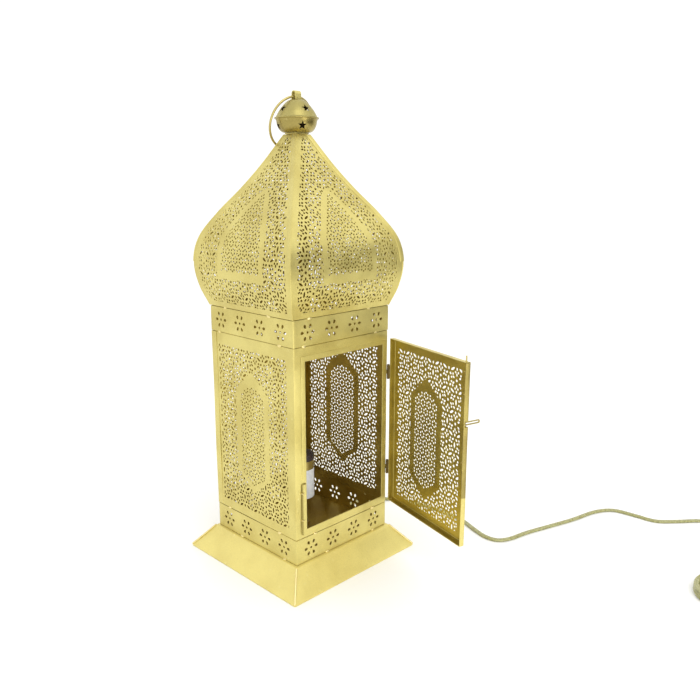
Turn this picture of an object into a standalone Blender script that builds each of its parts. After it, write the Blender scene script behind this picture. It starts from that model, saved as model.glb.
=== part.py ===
"""A moroccan metal lantern: a sheet-metal table lamp with an onion dome, a hinged door, a carry
ring and a mains cord with its plug. Metres, +Z up. The origin is on the lantern's axis, at the
bottom of its foot. The door faces -Y and stands open at rest."""

import math

import bmesh
import bpy
from mathutils import Matrix, Vector

# Driving sizes.
BODY_HALF = 0.0700
SHEET = 0.0007
GAP = 0.0003
SHADOW_GAP = 0.0008
TURN_STEPS = 40

# Foot.
FOOT_HALF_BOTTOM = 0.0940
FOOT_HALF_TOP = 0.0730
FOOT_LIP = 0.0020
FOOT_TOP = 0.0272
FOOT_FLANGE_HALF = 0.0620
FOOT_SHEET = 0.0010
COVER_THICK = 0.0012
FLOOR_LOW = 0.0277
FLOOR_THICK = 0.0009

# Heights of the bands and of the body between them.
LOWER_BAND = (FOOT_TOP + SHADOW_GAP, 0.0558)
BODY = (LOWER_BAND[1] + SHADOW_GAP, 0.2639)
UPPER_BAND = (BODY[1] + SHADOW_GAP, 0.2922)
UPPER_BAND_HALF = 0.07035
REAR_CORNER_LEG = 0.0086
OPENING = (-0.0553, 0.0623)
OPENING_HEIGHT = (0.0651, 0.2492)

# Dome: half width against height, from its base to its neck.
DOME_OUTLINE = (
    (0.0707, UPPER_BAND[1] + SHADOW_GAP),
    (0.0785, 0.3160),
    (0.0816, 0.3415),
    (0.0765, 0.3680),
    (0.0614, 0.3941),
    (0.0432, 0.4193),
    (0.0269, 0.4445),
    (0.0096, 0.4753),
)
DOME_SPANS = 3

# Finial ball, bolt and strap.
NECK_HALF = 0.0090
BALL_BOTTOM = 0.4770
BALL_RIM_Z = 0.4912
BALL_RIM_R = 0.0236
BALL_TOP = 0.5103
BALL_HOLE_R = 0.0017
# The cap's outer side, as (radius, height), from its flat top down to the rim.
CAP_OUTLINE = (
    (0.0056, BALL_TOP),
    (0.0088, 0.5094),
    (0.0126, 0.5063),
    (0.0160, 0.5024),
    (0.0188, 0.4986),
    (0.0208, 0.4950),
    (0.0219, 0.4930),
)
BOLT_R = 0.0015
STRAP_WIDTH = 0.0080
STRAP_HALF = 0.0032
STRAP_THICK = 0.0008
STRAP_TOP = 0.5194

# Carry ring.
RING_AXIS_Z = 0.5135
RING_R = 0.0276
RING_WIRE_R = 0.00125
RING_LEAN_DEG = 20.5

# Door, in its own frame: the hinge axis is the origin and the shut door runs along -X.
HINGE_AXIS = (BODY_HALF + 0.0019, -BODY_HALF)
DOOR_OPEN_DEG = 75.0
PAN_NEAR = -0.0024
PAN_FAR = -0.1365
PAN_FRONT = -0.0067
PAN_BACK = -GAP
PAN_HEIGHT = (0.0590, 0.2548)
HINGE_HEIGHTS = {"upper": 0.2156, "lower": 0.1006}
HINGE_LONG = 0.0155
KNUCKLE_R = 0.0016
KNUCKLE_BORE_R = 0.00082
PIN_R = 0.00075
MIDDLE_KNUCKLE = 0.0050

# Latch wire, in the door's frame.
LATCH_AXIS = (-0.1336, -0.0033)
LATCH_WIRE_R = 0.0008
LATCH_TOP = 0.2610
LATCH_LOW = 0.1260
HANDLE_Z = 0.1911
HANDLE_HALF = 0.0014
HANDLE_REACH = 0.0192
STAPLE_WIRE_R = 0.0005
STAPLE_R = 0.0016
LATCH_STAPLES = (0.2450, 0.2220, 0.1500)

# Catch wire on the left jamb.
CATCH_X = -0.0615
CATCH_HEIGHT = (0.0610, 0.1180)
CATCH_TOE = 0.0045
CATCH_STAPLES = {"upper": 0.1085, "lower": 0.0780}

# Lampholder.
STEM_R = 0.0049
STEM_BORE_R = 0.0036
STEM_HEIGHT = (0.0235, 0.0660)
NUT_R = 0.0080
NUT_THICK = 0.0030
HOLDER_R = 0.0136
HOLDER_HEIGHT = (0.0663, 0.1183)
SLEEVE_R = 0.0145
SLEEVE_TOP = 0.1001
COLLAR_LOW = 0.1109
SOCKET_R = 0.0070
SOCKET_FLOOR = 0.0880

# Cord: a flat twin lead.
CORD_WIDE = 0.0056
CORD_THICK = 0.0030
CORD_LOW_Z = 0.0016
EXIT = (FOOT_HALF_BOTTOM + 0.0032, 0.0400, 0.0034)
NOTCH_HALF = 0.0050
NOTCH_TOP = 0.0070
NOTCH_REACH = 0.0200
# The route's own points, from the bushing along the floor to the coil.
CORD_ROUTE = (
    EXIT,
    (0.1040, 0.0400, 0.0028),
    (0.1140, 0.0396, 0.0019),
    (0.1280, 0.0380, CORD_LOW_Z),
    (0.1500, 0.0285, CORD_LOW_Z),
    (0.1690, 0.0125, CORD_LOW_Z),
    (0.1815, -0.0100, CORD_LOW_Z),
    (0.1880, -0.0400, CORD_LOW_Z),
    (0.1895, -0.0700, CORD_LOW_Z),
    (0.1868, -0.0989, CORD_LOW_Z),
    (0.1779, -0.1225, CORD_LOW_Z),
    (0.1712, -0.1440, CORD_LOW_Z),
    (0.1738, -0.1608, CORD_LOW_Z),
    (0.1888, -0.1700, CORD_LOW_Z),
    (0.2154, -0.1756, CORD_LOW_Z),
    (0.2520, -0.1869, CORD_LOW_Z),
    (0.2900, -0.1986, CORD_LOW_Z),
    (0.3310, -0.2080, CORD_LOW_Z),
    (0.3535, -0.2235, CORD_LOW_Z),
    (0.3585, -0.2500, CORD_LOW_Z),
    (0.3615, -0.2760, CORD_LOW_Z),
    (0.3790, -0.2955, CORD_LOW_Z),
    (0.4020, -0.3160, CORD_LOW_Z),
    (0.4170, -0.3400, CORD_LOW_Z),
    (0.4150, -0.3700, CORD_LOW_Z),
    (0.3960, -0.3980, CORD_LOW_Z),
    (0.3630, -0.4180, CORD_LOW_Z),
    (0.3260, -0.4310, CORD_LOW_Z),
    (0.2920, -0.4390, CORD_LOW_Z),
    (0.2665, -0.4375, CORD_LOW_Z),
)
# From the coil to the plug.
CORD_TAIL = (
    (0.2730, -0.3781, 0.0074),
    (0.2820, -0.3808, 0.0072),
    (0.2920, -0.3838, 0.0070),
    (0.3007, -0.3864, 0.0069),
)
CORD_STEP = 0.0095
COIL_CENTRE = (0.2432, -0.4045)
COIL_R = (0.0252, 0.0370)
COIL_HIGH = 0.0096

# Plug: flat, with two round pins, lying beside the coil.
PLUG_PLACE = (0.3187, -0.3912, 0.0069)
PLUG_TURN_DEG = -15.0
PLUG_BODY = (0.0360, 0.0250, 0.0136)
PIN_SPACING = 0.0186
PLUG_PIN_R = 0.0020
PLUG_PIN_LONG = 0.0190


def clear_scene():
    for obj in list(bpy.data.objects):
        bpy.data.objects.remove(obj, do_unlink=True)


def make_collection(name, shown):
    made = bpy.data.collections.new(name)
    bpy.context.scene.collection.children.link(made)
    made.hide_render = not shown
    return made


def make_material(name, colour, roughness, metallic):
    made = bpy.data.materials.new(name)
    made.use_nodes = True
    shader = made.node_tree.nodes["Principled BSDF"]
    shader.inputs["Base Color"].default_value = (*colour, 1.0)
    shader.inputs["Roughness"].default_value = roughness
    shader.inputs["Metallic"].default_value = metallic
    return made


clear_scene()
PARTS = make_collection("moroccan_metal_lantern", True)
CUTTERS = make_collection("cutters", False)
GOLD = make_material("gold_sheet", (0.78, 0.62, 0.26), 0.38, 0.9)
WIRE_GOLD = make_material("gold_wire", (0.66, 0.54, 0.26), 0.35, 0.9)
STEEL = make_material("plated_steel", (0.55, 0.53, 0.48), 0.35, 1.0)
BRASS = make_material("brass", (0.70, 0.58, 0.28), 0.35, 1.0)
BAKELITE = make_material("bakelite", (0.03, 0.02, 0.03), 0.45, 0.0)
CARD = make_material("white_sleeve", (0.80, 0.81, 0.82), 0.70, 0.0)
CORD = make_material("clear_gold_cord", (0.55, 0.47, 0.20), 0.35, 0.0)


def add_object(name, data, material, parent=None, location=(0, 0, 0), rotation=(0, 0, 0)):
    """An object in the parts' collection, placed in its parent's frame."""
    made = bpy.data.objects.new(name, data)
    PARTS.objects.link(made)
    data.materials.append(material)
    made.parent = parent
    made.location = location
    made.rotation_euler = rotation
    return made


def add_axis(name, location, rotation):
    """An empty on a joint's axis, which carries the pieces that move."""
    made = bpy.data.objects.new(name, None)
    PARTS.objects.link(made)
    made.location = location
    made.rotation_euler = rotation
    return made


def mesh_from(bm, name, smooth_deg=None):
    mesh = bpy.data.meshes.new(name)
    bm.to_mesh(mesh)
    bm.free()
    if smooth_deg is not None:
        mesh.shade_smooth()
        mesh.set_sharp_from_angle(angle=math.radians(smooth_deg))
    return mesh


def box_mesh(name, low, high):
    """A box about its own centre, with that centre."""
    low, high = Vector(low), Vector(high)
    bm = bmesh.new()
    bmesh.ops.create_cube(bm, size=1.0, matrix=Matrix.Diagonal((*(high - low), 1.0)))
    return mesh_from(bm, name), (low + high) / 2


def add_box(name, low, high, material, parent=None):
    mesh, centre = box_mesh(name, low, high)
    return add_object(name, mesh, material, parent, centre)


def add_cutter(name, mesh, location, parent=None, rotation=(0, 0, 0)):
    made = bpy.data.objects.new(name, mesh)
    CUTTERS.objects.link(made)
    made.parent = parent
    made.location = location
    made.rotation_euler = rotation
    made.hide_render = True
    made.display_type = "WIRE"
    return made


def box_cutter(name, low, high, parent=None):
    mesh, centre = box_mesh(name, low, high)
    return add_cutter(name, mesh, centre, parent)


def rod_mesh(name, radius, long, segments=24):
    """A round rod along Z about its own centre."""
    bm = bmesh.new()
    bmesh.ops.create_cone(
        bm, cap_ends=True, segments=segments, radius1=radius, radius2=radius, depth=long
    )
    return mesh_from(bm, name, 40)


def apply_boolean(target, other, operation):
    step = target.modifiers.new(other.name, "BOOLEAN")
    step.operation = operation
    step.object = other


def cut(target, other):
    apply_boolean(target, other, "DIFFERENCE")


def join(target, other):
    apply_boolean(target, other, "UNION")


def add_turned(name, profile, material, closed, parent=None, location=(0, 0, 0), steps=TURN_STEPS):
    """A turned piece. The profile of (radius, height) runs down its outer side."""
    bm = bmesh.new()
    points = [bm.verts.new((radius, 0.0, height)) for radius, height in profile]
    for a, b in zip(points, points[1:]):
        bm.edges.new((a, b))
    if closed:
        bm.edges.new((points[-1], points[0]))
    made = add_object(name, mesh_from(bm, name), material, parent, location)
    screw = made.modifiers.new("turn", "SCREW")
    screw.steps = steps
    screw.render_steps = steps
    screw.use_merge_vertices = True
    screw.merge_threshold = 0.00001
    screw.use_smooth_shade = steps > 6
    return made


def add_wire(name, points, radius, material, parent=None):
    """A round wire along the points, with filled ends."""
    curve = bpy.data.curves.new(name, "CURVE")
    curve.dimensions = "3D"
    curve.bevel_depth = radius
    curve.bevel_resolution = 2
    curve.use_fill_caps = True
    spline = curve.splines.new("POLY")
    spline.points.add(len(points) - 1)
    for target, point in zip(spline.points, points):
        target.co = (*point, 1.0)
    return add_object(name, curve, material, parent)


def add_outline(name, outline, low, high, material):
    """A flat outline in X and Y, as tall as from low to high."""
    curve = bpy.data.curves.new(name, "CURVE")
    curve.dimensions = "2D"
    curve.fill_mode = "BOTH"
    curve.extrude = (high - low) / 2
    spline = curve.splines.new("POLY")
    spline.use_cyclic_u = True
    spline.points.add(len(outline) - 1)
    for target, (x, y) in zip(spline.points, outline):
        target.co = (x, y, 0.0, 1.0)
    return add_object(name, curve, material, None, (0, 0, (low + high) / 2))


def smooth_line(points, spans):
    """Points on a smooth curve through the given ones, with that many spans between two of them."""
    points = [Vector(p) for p in points]
    ends = [2 * points[0] - points[1], *points, 2 * points[-1] - points[-2]]
    line = [points[0]]
    for a, b, c, d in zip(ends, ends[1:], ends[2:], ends[3:]):
        for step in range(1, spans + 1):
            t = step / spans
            line.append(
                0.5 * (2 * b + (c - a) * t + (2 * a - 5 * b + 4 * c - d) * t**2)
                + 0.5 * (3 * b - 3 * c + d - a) * t**3
            )
    return line


def evenly_spaced(line, step):
    """The line again, with its points about one step apart."""
    along = [0.0]
    for a, b in zip(line, line[1:]):
        along.append(along[-1] + (b - a).length)
    count = max(2, round(along[-1] / step) + 1)
    made, at = [], 0
    for i in range(count):
        goal = along[-1] * i / (count - 1)
        while at < len(line) - 2 and along[at + 1] < goal:
            at += 1
        share = (goal - along[at]) / (along[at + 1] - along[at])
        made.append(line[at].lerp(line[at + 1], min(1.0, share)))
    return made


def rounded(points, radius, steps=4):
    """The points with each inner corner replaced by a bend."""
    points = [Vector(p) for p in points]
    line = [points[0]]
    for a, corner, b in zip(points, points[1:], points[2:]):
        start = corner + (a - corner).normalized() * radius
        end = corner + (b - corner).normalized() * radius
        for i in range(steps + 1):
            t = i / steps
            line.append((1 - t) ** 2 * start + 2 * t * (1 - t) * corner + t**2 * end)
    line.append(points[-1])
    return line


def make_foot():
    """The sloping skirt with its lip and top flange, the cover under it and the lamp's floor."""
    corner = math.sqrt(2)
    profile = (
        (FOOT_FLANGE_HALF, FOOT_TOP),
        (FOOT_HALF_TOP, FOOT_TOP),
        (FOOT_HALF_BOTTOM, FOOT_LIP),
        (FOOT_HALF_BOTTOM, 0.0),
        (FOOT_HALF_BOTTOM - FOOT_SHEET, 0.0),
        (FOOT_HALF_BOTTOM - FOOT_SHEET, FOOT_LIP - FOOT_SHEET / 2),
        (FOOT_HALF_TOP - FOOT_SHEET / 2, FOOT_TOP - FOOT_SHEET),
        (FOOT_FLANGE_HALF, FOOT_TOP - FOOT_SHEET),
    )
    square = [(half * corner, height) for half, height in profile]
    skirt = add_turned("foot_skirt", square, GOLD, True, steps=4)
    skirt.rotation_euler = (0, 0, math.pi / 4)
    x, y = FOOT_HALF_BOTTOM, EXIT[1]
    low = (x - NOTCH_REACH, y - NOTCH_HALF, -0.001)
    high = (x + NOTCH_REACH, y + NOTCH_HALF, NOTCH_TOP)
    cut(skirt, box_cutter("cord_notch", low, high))
    half = FOOT_HALF_BOTTOM - FOOT_SHEET - GAP
    cover = add_box("base_cover", (-half, -half, 0), (half, half, COVER_THICK), STEEL)
    low = (x - 0.0060, y - NOTCH_HALF, -0.001)
    cut(cover, box_cutter("cover_notch", low, high))
    half = BODY_HALF - SHEET - GAP
    floor = add_box(
        "floor_plate", (-half, -half, FLOOR_LOW), (half, half, FLOOR_LOW + FLOOR_THICK), GOLD
    )
    cut(floor, add_cutter("stem_hole", rod_mesh("stem_hole", STEM_R + GAP, 0.01), (0, 0, FLOOR_LOW)))


def make_bands():
    """Two square bands, each of four strips that meet at the corners."""
    for level, half, (low, high) in (
        ("lower", BODY_HALF, LOWER_BAND),
        ("upper", UPPER_BAND_HALF, UPPER_BAND),
    ):
        inner = half - SHEET
        end = inner - GAP
        for side, y0, y1 in (("front", -half, -inner), ("back", inner, half)):
            add_box(f"{level}_band_{side}", (-half, y0, low), (half, y1, high), GOLD)
        for side, x0, x1 in (("left", -half, -inner), ("right", inner, half)):
            add_box(f"{level}_band_{side}", (x0, -end, low), (x1, end, high), GOLD)


def make_body():
    """Three walls, the jambs and rails round the doorway, and the two rear corners."""
    low, high = BODY
    inner = BODY_HALF - SHEET
    front_end, back_end = -inner + GAP, BODY_HALF - REAR_CORNER_LEG - GAP
    add_box("left_wall", (-BODY_HALF, front_end, low), (-inner, back_end, high), GOLD)
    add_box("right_wall", (inner, front_end, low), (BODY_HALF, back_end, high), GOLD)
    add_box("back_wall", (-back_end, inner, low), (back_end, BODY_HALF, high), GOLD)
    left, right = OPENING
    add_box("left_jamb", (-BODY_HALF, -BODY_HALF, low), (left, -inner, high), GOLD)
    add_box("right_jamb", (right, -BODY_HALF, low), (BODY_HALF, -inner, high), GOLD)
    for name, z0, z1 in (
        ("front_rail_top", OPENING_HEIGHT[1], high),
        ("front_rail_bottom", low, OPENING_HEIGHT[0]),
    ):
        add_box(name, (left + GAP, -BODY_HALF, z0), (right - GAP, -inner, z1), GOLD)
    leg = BODY_HALF - REAR_CORNER_LEG
    for side, way in (("left", -1), ("right", 1)):
        outline = (
            (way * leg, BODY_HALF),
            (way * BODY_HALF, BODY_HALF),
            (way * BODY_HALF, leg),
            (way * inner, leg),
            (way * inner, inner),
            (way * leg, inner),
        )
        add_outline(f"rear_corner_{side}", outline, low, high, GOLD)


def make_dome():
    """Four panels curved one way, which meet at mitred ridges."""
    outline = [Vector((half, 0.0, height)) for half, height in DOME_OUTLINE]
    line = smooth_line(outline, DOME_SPANS)
    pull = GAP * 0.7
    bm = bmesh.new()
    rows = []
    for i, point in enumerate(line):
        before, after = line[max(0, i - 1)], line[min(len(line) - 1, i + 1)]
        along = (after - before).normalized()
        deep = Vector((-along.z, 0.0, along.x)) * SHEET
        inner = point + deep
        rows.append(
            [
                bm.verts.new((-point.x + pull, -point.x, point.z)),
                bm.verts.new((point.x - pull, -point.x, point.z)),
                bm.verts.new((inner.x - pull, -inner.x, inner.z)),
                bm.verts.new((-inner.x + pull, -inner.x, inner.z)),
            ]
        )
    for a, b in zip(rows, rows[1:]):
        for i in range(4):
            j = (i + 1) % 4
            bm.faces.new((a[i], a[j], b[j], b[i]))
    bm.faces.new(rows[0][::-1])
    bm.faces.new(rows[-1])
    panel = mesh_from(bm, "dome_panel", 30)
    for side, quarter in (("front", 0), ("right", 1), ("back", 2), ("left", 3)):
        mesh = panel.copy()
        add_object(
            f"dome_panel_{side}", mesh, GOLD, None, (0, 0, 0), (0, 0, quarter * math.pi / 2)
        )


def shell_profile(outer):
    """A closed profile: the outer side downwards, then the inner side back up, one sheet in."""
    count = len(outer)
    inner = []
    for i, (radius, height) in enumerate(outer):
        before, after = outer[max(0, i - 1)], outer[min(count - 1, i + 1)]
        dr, dz = after[0] - before[0], after[1] - before[1]
        size = math.hypot(dr, dz)
        inner.append((radius + dz / size * SHEET, height - dr / size * SHEET))
    return [*outer, *reversed(inner)]


def make_finial():
    """A ball of two pressed shells on a neck plate, bolted through, with a strap for the ring."""
    top = DOME_OUTLINE[-1][1]
    neck = add_box(
        "neck_plate",
        (-NECK_HALF, -NECK_HALF, top + GAP),
        (NECK_HALF, NECK_HALF, BALL_BOTTOM - GAP),
        GOLD,
    )
    cut(neck, add_cutter("neck_hole", rod_mesh("neck_hole", BALL_HOLE_R, 0.01), (0, 0, top)))
    bowl = [(BALL_RIM_R, BALL_RIM_Z)]
    for i in range(7):
        turn = math.radians(8 + 72 * i / 6)
        bowl.append(
            (
                0.0128 + 0.0088 * math.cos(turn),
                BALL_RIM_Z - 0.0010 - 0.0132 * math.sin(turn),
            )
        )
    bowl += [(0.0110, BALL_BOTTOM), (BALL_HOLE_R, BALL_BOTTOM)]
    add_turned("finial_bowl", shell_profile(bowl), GOLD, True)
    cap = [(BALL_HOLE_R, BALL_TOP), *CAP_OUTLINE, (BALL_RIM_R, BALL_RIM_Z + SHEET + GAP)]
    add_turned("finial_cap", shell_profile(cap), GOLD, True)
    rod_low = top - 0.0060
    head_low = BALL_TOP + GAP
    bolt = (
        (0.0, head_low + 0.0009),
        (0.0017, head_low + 0.0006),
        (0.0020, head_low),
        (BOLT_R, head_low),
        (BOLT_R, rod_low),
        (0.0, rod_low),
    )
    add_turned("finial_bolt", bolt, STEEL, False, steps=20)
    nut_high = top - GAP
    nut = (
        (0.0034, nut_high),
        (0.0034, nut_high - 0.0022),
        (BOLT_R + 0.0001, nut_high - 0.0022),
        (BOLT_R + 0.0001, nut_high),
    )
    add_turned("finial_nut", nut, STEEL, True, steps=20)
    make_strap()


def make_strap():
    """An arch of strip over the ball, with two feet turned outwards on the cap."""
    foot_z = BALL_TOP + GAP
    rise = STRAP_TOP - STRAP_HALF
    foot = 0.0016
    outer = [(STRAP_HALF + foot, foot_z), (STRAP_HALF + foot, foot_z + STRAP_THICK)]
    outer.append((STRAP_HALF, foot_z + STRAP_THICK))
    inner_r = STRAP_HALF - STRAP_THICK
    arch = [math.pi * i / 12 for i in range(13)]
    outer += [(STRAP_HALF * math.cos(t), rise + STRAP_HALF * math.sin(t)) for t in arch]
    outer += [(-y, z) for y, z in reversed(outer[:3])]
    outer.append((-inner_r, foot_z))
    outer += [(inner_r * math.cos(t), rise + inner_r * math.sin(t)) for t in reversed(arch)]
    outer.append((inner_r, foot_z))
    curve = bpy.data.curves.new("hanging_strap", "CURVE")
    curve.dimensions = "2D"
    curve.fill_mode = "BOTH"
    curve.extrude = STRAP_WIDTH / 2
    spline = curve.splines.new("POLY")
    spline.use_cyclic_u = True
    spline.points.add(len(outer) - 1)
    for target, (y, z) in zip(spline.points, outer):
        target.co = (y, z, 0.0, 1.0)
    turned = (math.pi / 2, 0, math.pi / 2)
    add_object("hanging_strap", curve, GOLD, None, (0, 0, 0), turned)


def make_ring():
    """The carry ring hangs from the strap and leans on the dome's back face."""
    axis = add_axis("ring_axis", (0, 0, RING_AXIS_Z), (math.radians(RING_LEAN_DEG), 0, 0))
    bpy.ops.mesh.primitive_torus_add(
        major_segments=56, minor_segments=10, major_radius=RING_R, minor_radius=RING_WIRE_R
    )
    ring = bpy.context.object
    mesh = ring.data
    bpy.data.objects.remove(ring)
    mesh.shade_smooth()
    turned = (math.pi / 2, 0, 0)
    add_object("carry_ring", mesh, WIRE_GOLD, axis, (0, 0, -RING_R), turned)


def add_leaf(name, place, plate, tongues, barrels, parent):
    """A hinge leaf: its plate, the tongues that reach the axis, and its knuckles, as one piece."""
    low, high = plate
    leaf = add_box(name, low, high, STEEL, parent)
    for i, (tongue_low, tongue_high) in enumerate(tongues):
        join(leaf, box_cutter(f"{name}_tongue_{i}", tongue_low, tongue_high, parent))
    for i, (z0, z1) in enumerate(barrels):
        centre = (*place, (z0 + z1) / 2)
        rod = rod_mesh(f"{name}_barrel_{i}", KNUCKLE_R, z1 - z0, 16)
        join(leaf, add_cutter(f"{name}_barrel_{i}", rod, centre, parent))
    long = 2 * HINGE_LONG
    middle = (*place, (barrels[0][0] + barrels[-1][1]) / 2)
    bore = rod_mesh(f"{name}_bore", KNUCKLE_BORE_R, long, 16)
    cut(leaf, add_cutter(f"{name}_bore", bore, middle, parent))


def make_hinges(door):
    """Two butt hinges. The frame's leaf has the middle knuckle, the door's leaf the outer two."""
    half, middle = HINGE_LONG / 2, MIDDLE_KNUCKLE / 2
    ax, ay = HINGE_AXIS
    for name, z in HINGE_HEIGHTS.items():
        plate_x = (ax - 0.0016, ax - 0.0009)
        plate = (plate_x[0], ay + 0.0021, z - half), (plate_x[1], ay + 0.0105, z + half)
        tongue = (plate_x[0], ay - 0.0002, z - middle), (plate_x[1], ay + 0.0025, z + middle)
        add_leaf(
            f"hinge_frame_leaf_{name}", (ax, ay), plate, [tongue], [(z - middle, z + middle)], None
        )
        x0, x1 = -0.0021, -0.0013
        plate = (x0, -0.0065, z - half), (x1, -0.0021, z + half)
        ends = ((z - half, z - middle - GAP), (z + middle + GAP, z + half))
        tongues = [((x0, -0.0025, z0), (x1, -GAP, z1)) for z0, z1 in ends]
        add_leaf(f"hinge_door_leaf_{name}", (0, 0), plate, tongues, ends, door)
        head_r, head = 0.0013, 0.0006
        profile = (
            (0.0, half + GAP + head),
            (head_r, half + GAP + head),
            (head_r, half + GAP),
            (PIN_R, half + GAP),
            (PIN_R, -half - GAP),
            (head_r, -half - GAP),
            (head_r, -half - GAP - head),
            (0.0, -half - GAP - head),
        )
        add_turned(f"hinge_pin_{name}", profile, STEEL, False, None, (ax, ay, z), 16)


def staple_points(centre, away, across, leg, radius):
    """A wire bent to a U round centre: its legs point away, and its bend is on the other side."""
    centre, away, across = Vector(centre), Vector(away), Vector(across)
    points = [centre + away * leg + across * radius]
    for i in range(9):
        turn = math.pi * i / 8
        points.append(centre + across * (radius * math.cos(turn)) - away * (radius * math.sin(turn)))
    points.append(centre + away * leg - across * radius)
    return points


def make_door():
    """The door: a shallow pan that lies over the doorway, its hinges and its turning latch."""
    door = add_axis("door_axis", (*HINGE_AXIS, 0), (0, 0, math.radians(DOOR_OPEN_DEG)))
    low, high = PAN_HEIGHT
    pan = add_box("door_pan", (PAN_FAR, PAN_FRONT, low), (PAN_NEAR, PAN_BACK, high), GOLD, door)
    inside = (
        (PAN_FAR + SHEET, PAN_FRONT + SHEET, low + SHEET),
        (PAN_NEAR - SHEET, 0.001, high - SHEET),
    )
    cut(pan, box_cutter("pan_inside", *inside, door))
    notch = (
        (PAN_FAR - 0.001, PAN_FRONT - 0.001, HANDLE_Z - 0.0032),
        (LATCH_AXIS[0] + 0.0014, LATCH_AXIS[1] + 0.0014, HANDLE_Z + 0.0032),
    )
    cut(pan, box_cutter("handle_notch", *notch, door))
    hole = rod_mesh("latch_hole", LATCH_WIRE_R + 0.0004, 0.004, 12)
    cut(pan, add_cutter("latch_hole", hole, (*LATCH_AXIS, high), door))
    make_hinges(door)
    make_latch(door)


def make_latch(door):
    """One wire, bent out to a hairpin handle, that turns in three staples on the door's edge."""
    axis = add_axis("latch_axis", (*LATCH_AXIS, 0), (0, 0, 0))
    axis.parent = door
    route = [(0, 0, LATCH_TOP), (0, 0, HANDLE_Z + HANDLE_HALF)]
    route.append((0, -HANDLE_REACH + HANDLE_HALF, HANDLE_Z + HANDLE_HALF))
    route = rounded(route, 0.0014)
    for i in range(1, 8):
        turn = math.pi * i / 8
        route.append(
            Vector(
                (
                    0,
                    -HANDLE_REACH + HANDLE_HALF - HANDLE_HALF * math.sin(turn),
                    HANDLE_Z + HANDLE_HALF * math.cos(turn),
                )
            )
        )
    back = [(0, -HANDLE_REACH + HANDLE_HALF, HANDLE_Z - HANDLE_HALF)]
    back += [(0, 0, HANDLE_Z - HANDLE_HALF), (0, 0, LATCH_LOW)]
    route += rounded(back, 0.0014)
    add_wire("latch_wire", route, LATCH_WIRE_R, WIRE_GOLD, axis)
    leg = LATCH_AXIS[0] - (PAN_FAR + SHEET) - GAP
    for i, z in enumerate(LATCH_STAPLES):
        points = staple_points((*LATCH_AXIS, z), (-1, 0, 0), (0, 1, 0), leg, STAPLE_R)
        add_wire(f"latch_staple_{i + 1}", points, STAPLE_WIRE_R, WIRE_GOLD, door)


def make_catch():
    """The catch wire stands in two staples on the left jamb, with its top end bent aside."""
    y = -BODY_HALF - GAP - LATCH_WIRE_R
    low, high = CATCH_HEIGHT
    points = rounded(((CATCH_X, y, low), (CATCH_X, y, high), (CATCH_X + CATCH_TOE, y, high)), 0.0014)
    add_wire("catch_wire", points, LATCH_WIRE_R, WIRE_GOLD)
    for name, z in CATCH_STAPLES.items():
        leg = -y - BODY_HALF - GAP
        points = staple_points((CATCH_X, y, z), (0, 1, 0), (1, 0, 0), leg, STAPLE_R)
        add_wire(f"catch_staple_{name}", points, STAPLE_WIRE_R, WIRE_GOLD)


def make_lampholder():
    """A small screw lampholder on a threaded stem, with its paper sleeve and ring. No lamp."""
    low, high = STEM_HEIGHT
    stem = ((STEM_R, high), (STEM_R, low), (STEM_BORE_R, low), (STEM_BORE_R, high))
    add_turned("lampholder_stem", stem, BRASS, True, steps=24)
    bore = STEM_R + GAP
    floor_top = FLOOR_LOW + FLOOR_THICK
    for name, z in (("upper", floor_top + GAP), ("lower", FLOOR_LOW - GAP - NUT_THICK)):
        nut = ((NUT_R, z + NUT_THICK), (NUT_R, z), (bore, z), (bore, z + NUT_THICK))
        add_turned(f"stem_nut_{name}", nut, BRASS, True, steps=24)
    low, high = HOLDER_HEIGHT
    body = (
        (SOCKET_R, high),
        (SLEEVE_R - 0.0008, high),
        (SLEEVE_R - 0.0002, high - 0.0008),
        (SLEEVE_R - 0.0002, COLLAR_LOW),
        (HOLDER_R, COLLAR_LOW),
        (HOLDER_R, low + 0.0010),
        (HOLDER_R - 0.0010, low),
        (0.0, low),
    )
    holder = add_turned(
        "lampholder_body", (*body, (0.0, SOCKET_FLOOR), (SOCKET_R, SOCKET_FLOOR)), BAKELITE, True
    )
    holder.modifiers["turn"].use_smooth_shade = False
    inner = HOLDER_R + GAP
    sleeve_low = low - 0.0012
    for name, z0, z1, material in (
        ("lampholder_sleeve", sleeve_low, SLEEVE_TOP, CARD),
        ("lampholder_ring", SLEEVE_TOP + GAP, COLLAR_LOW - GAP, BRASS),
    ):
        tube = ((SLEEVE_R, z1), (SLEEVE_R, z0), (inner, z0), (inner, z1))
        add_turned(name, tube, material, True)
    contact = SOCKET_FLOOR + GAP
    disc = ((0.0, contact + 0.0014), (0.0018, contact + 0.0010), (0.0034, contact), (0.0, contact))
    add_turned("lampholder_contact", disc, BRASS, False, steps=20)


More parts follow.
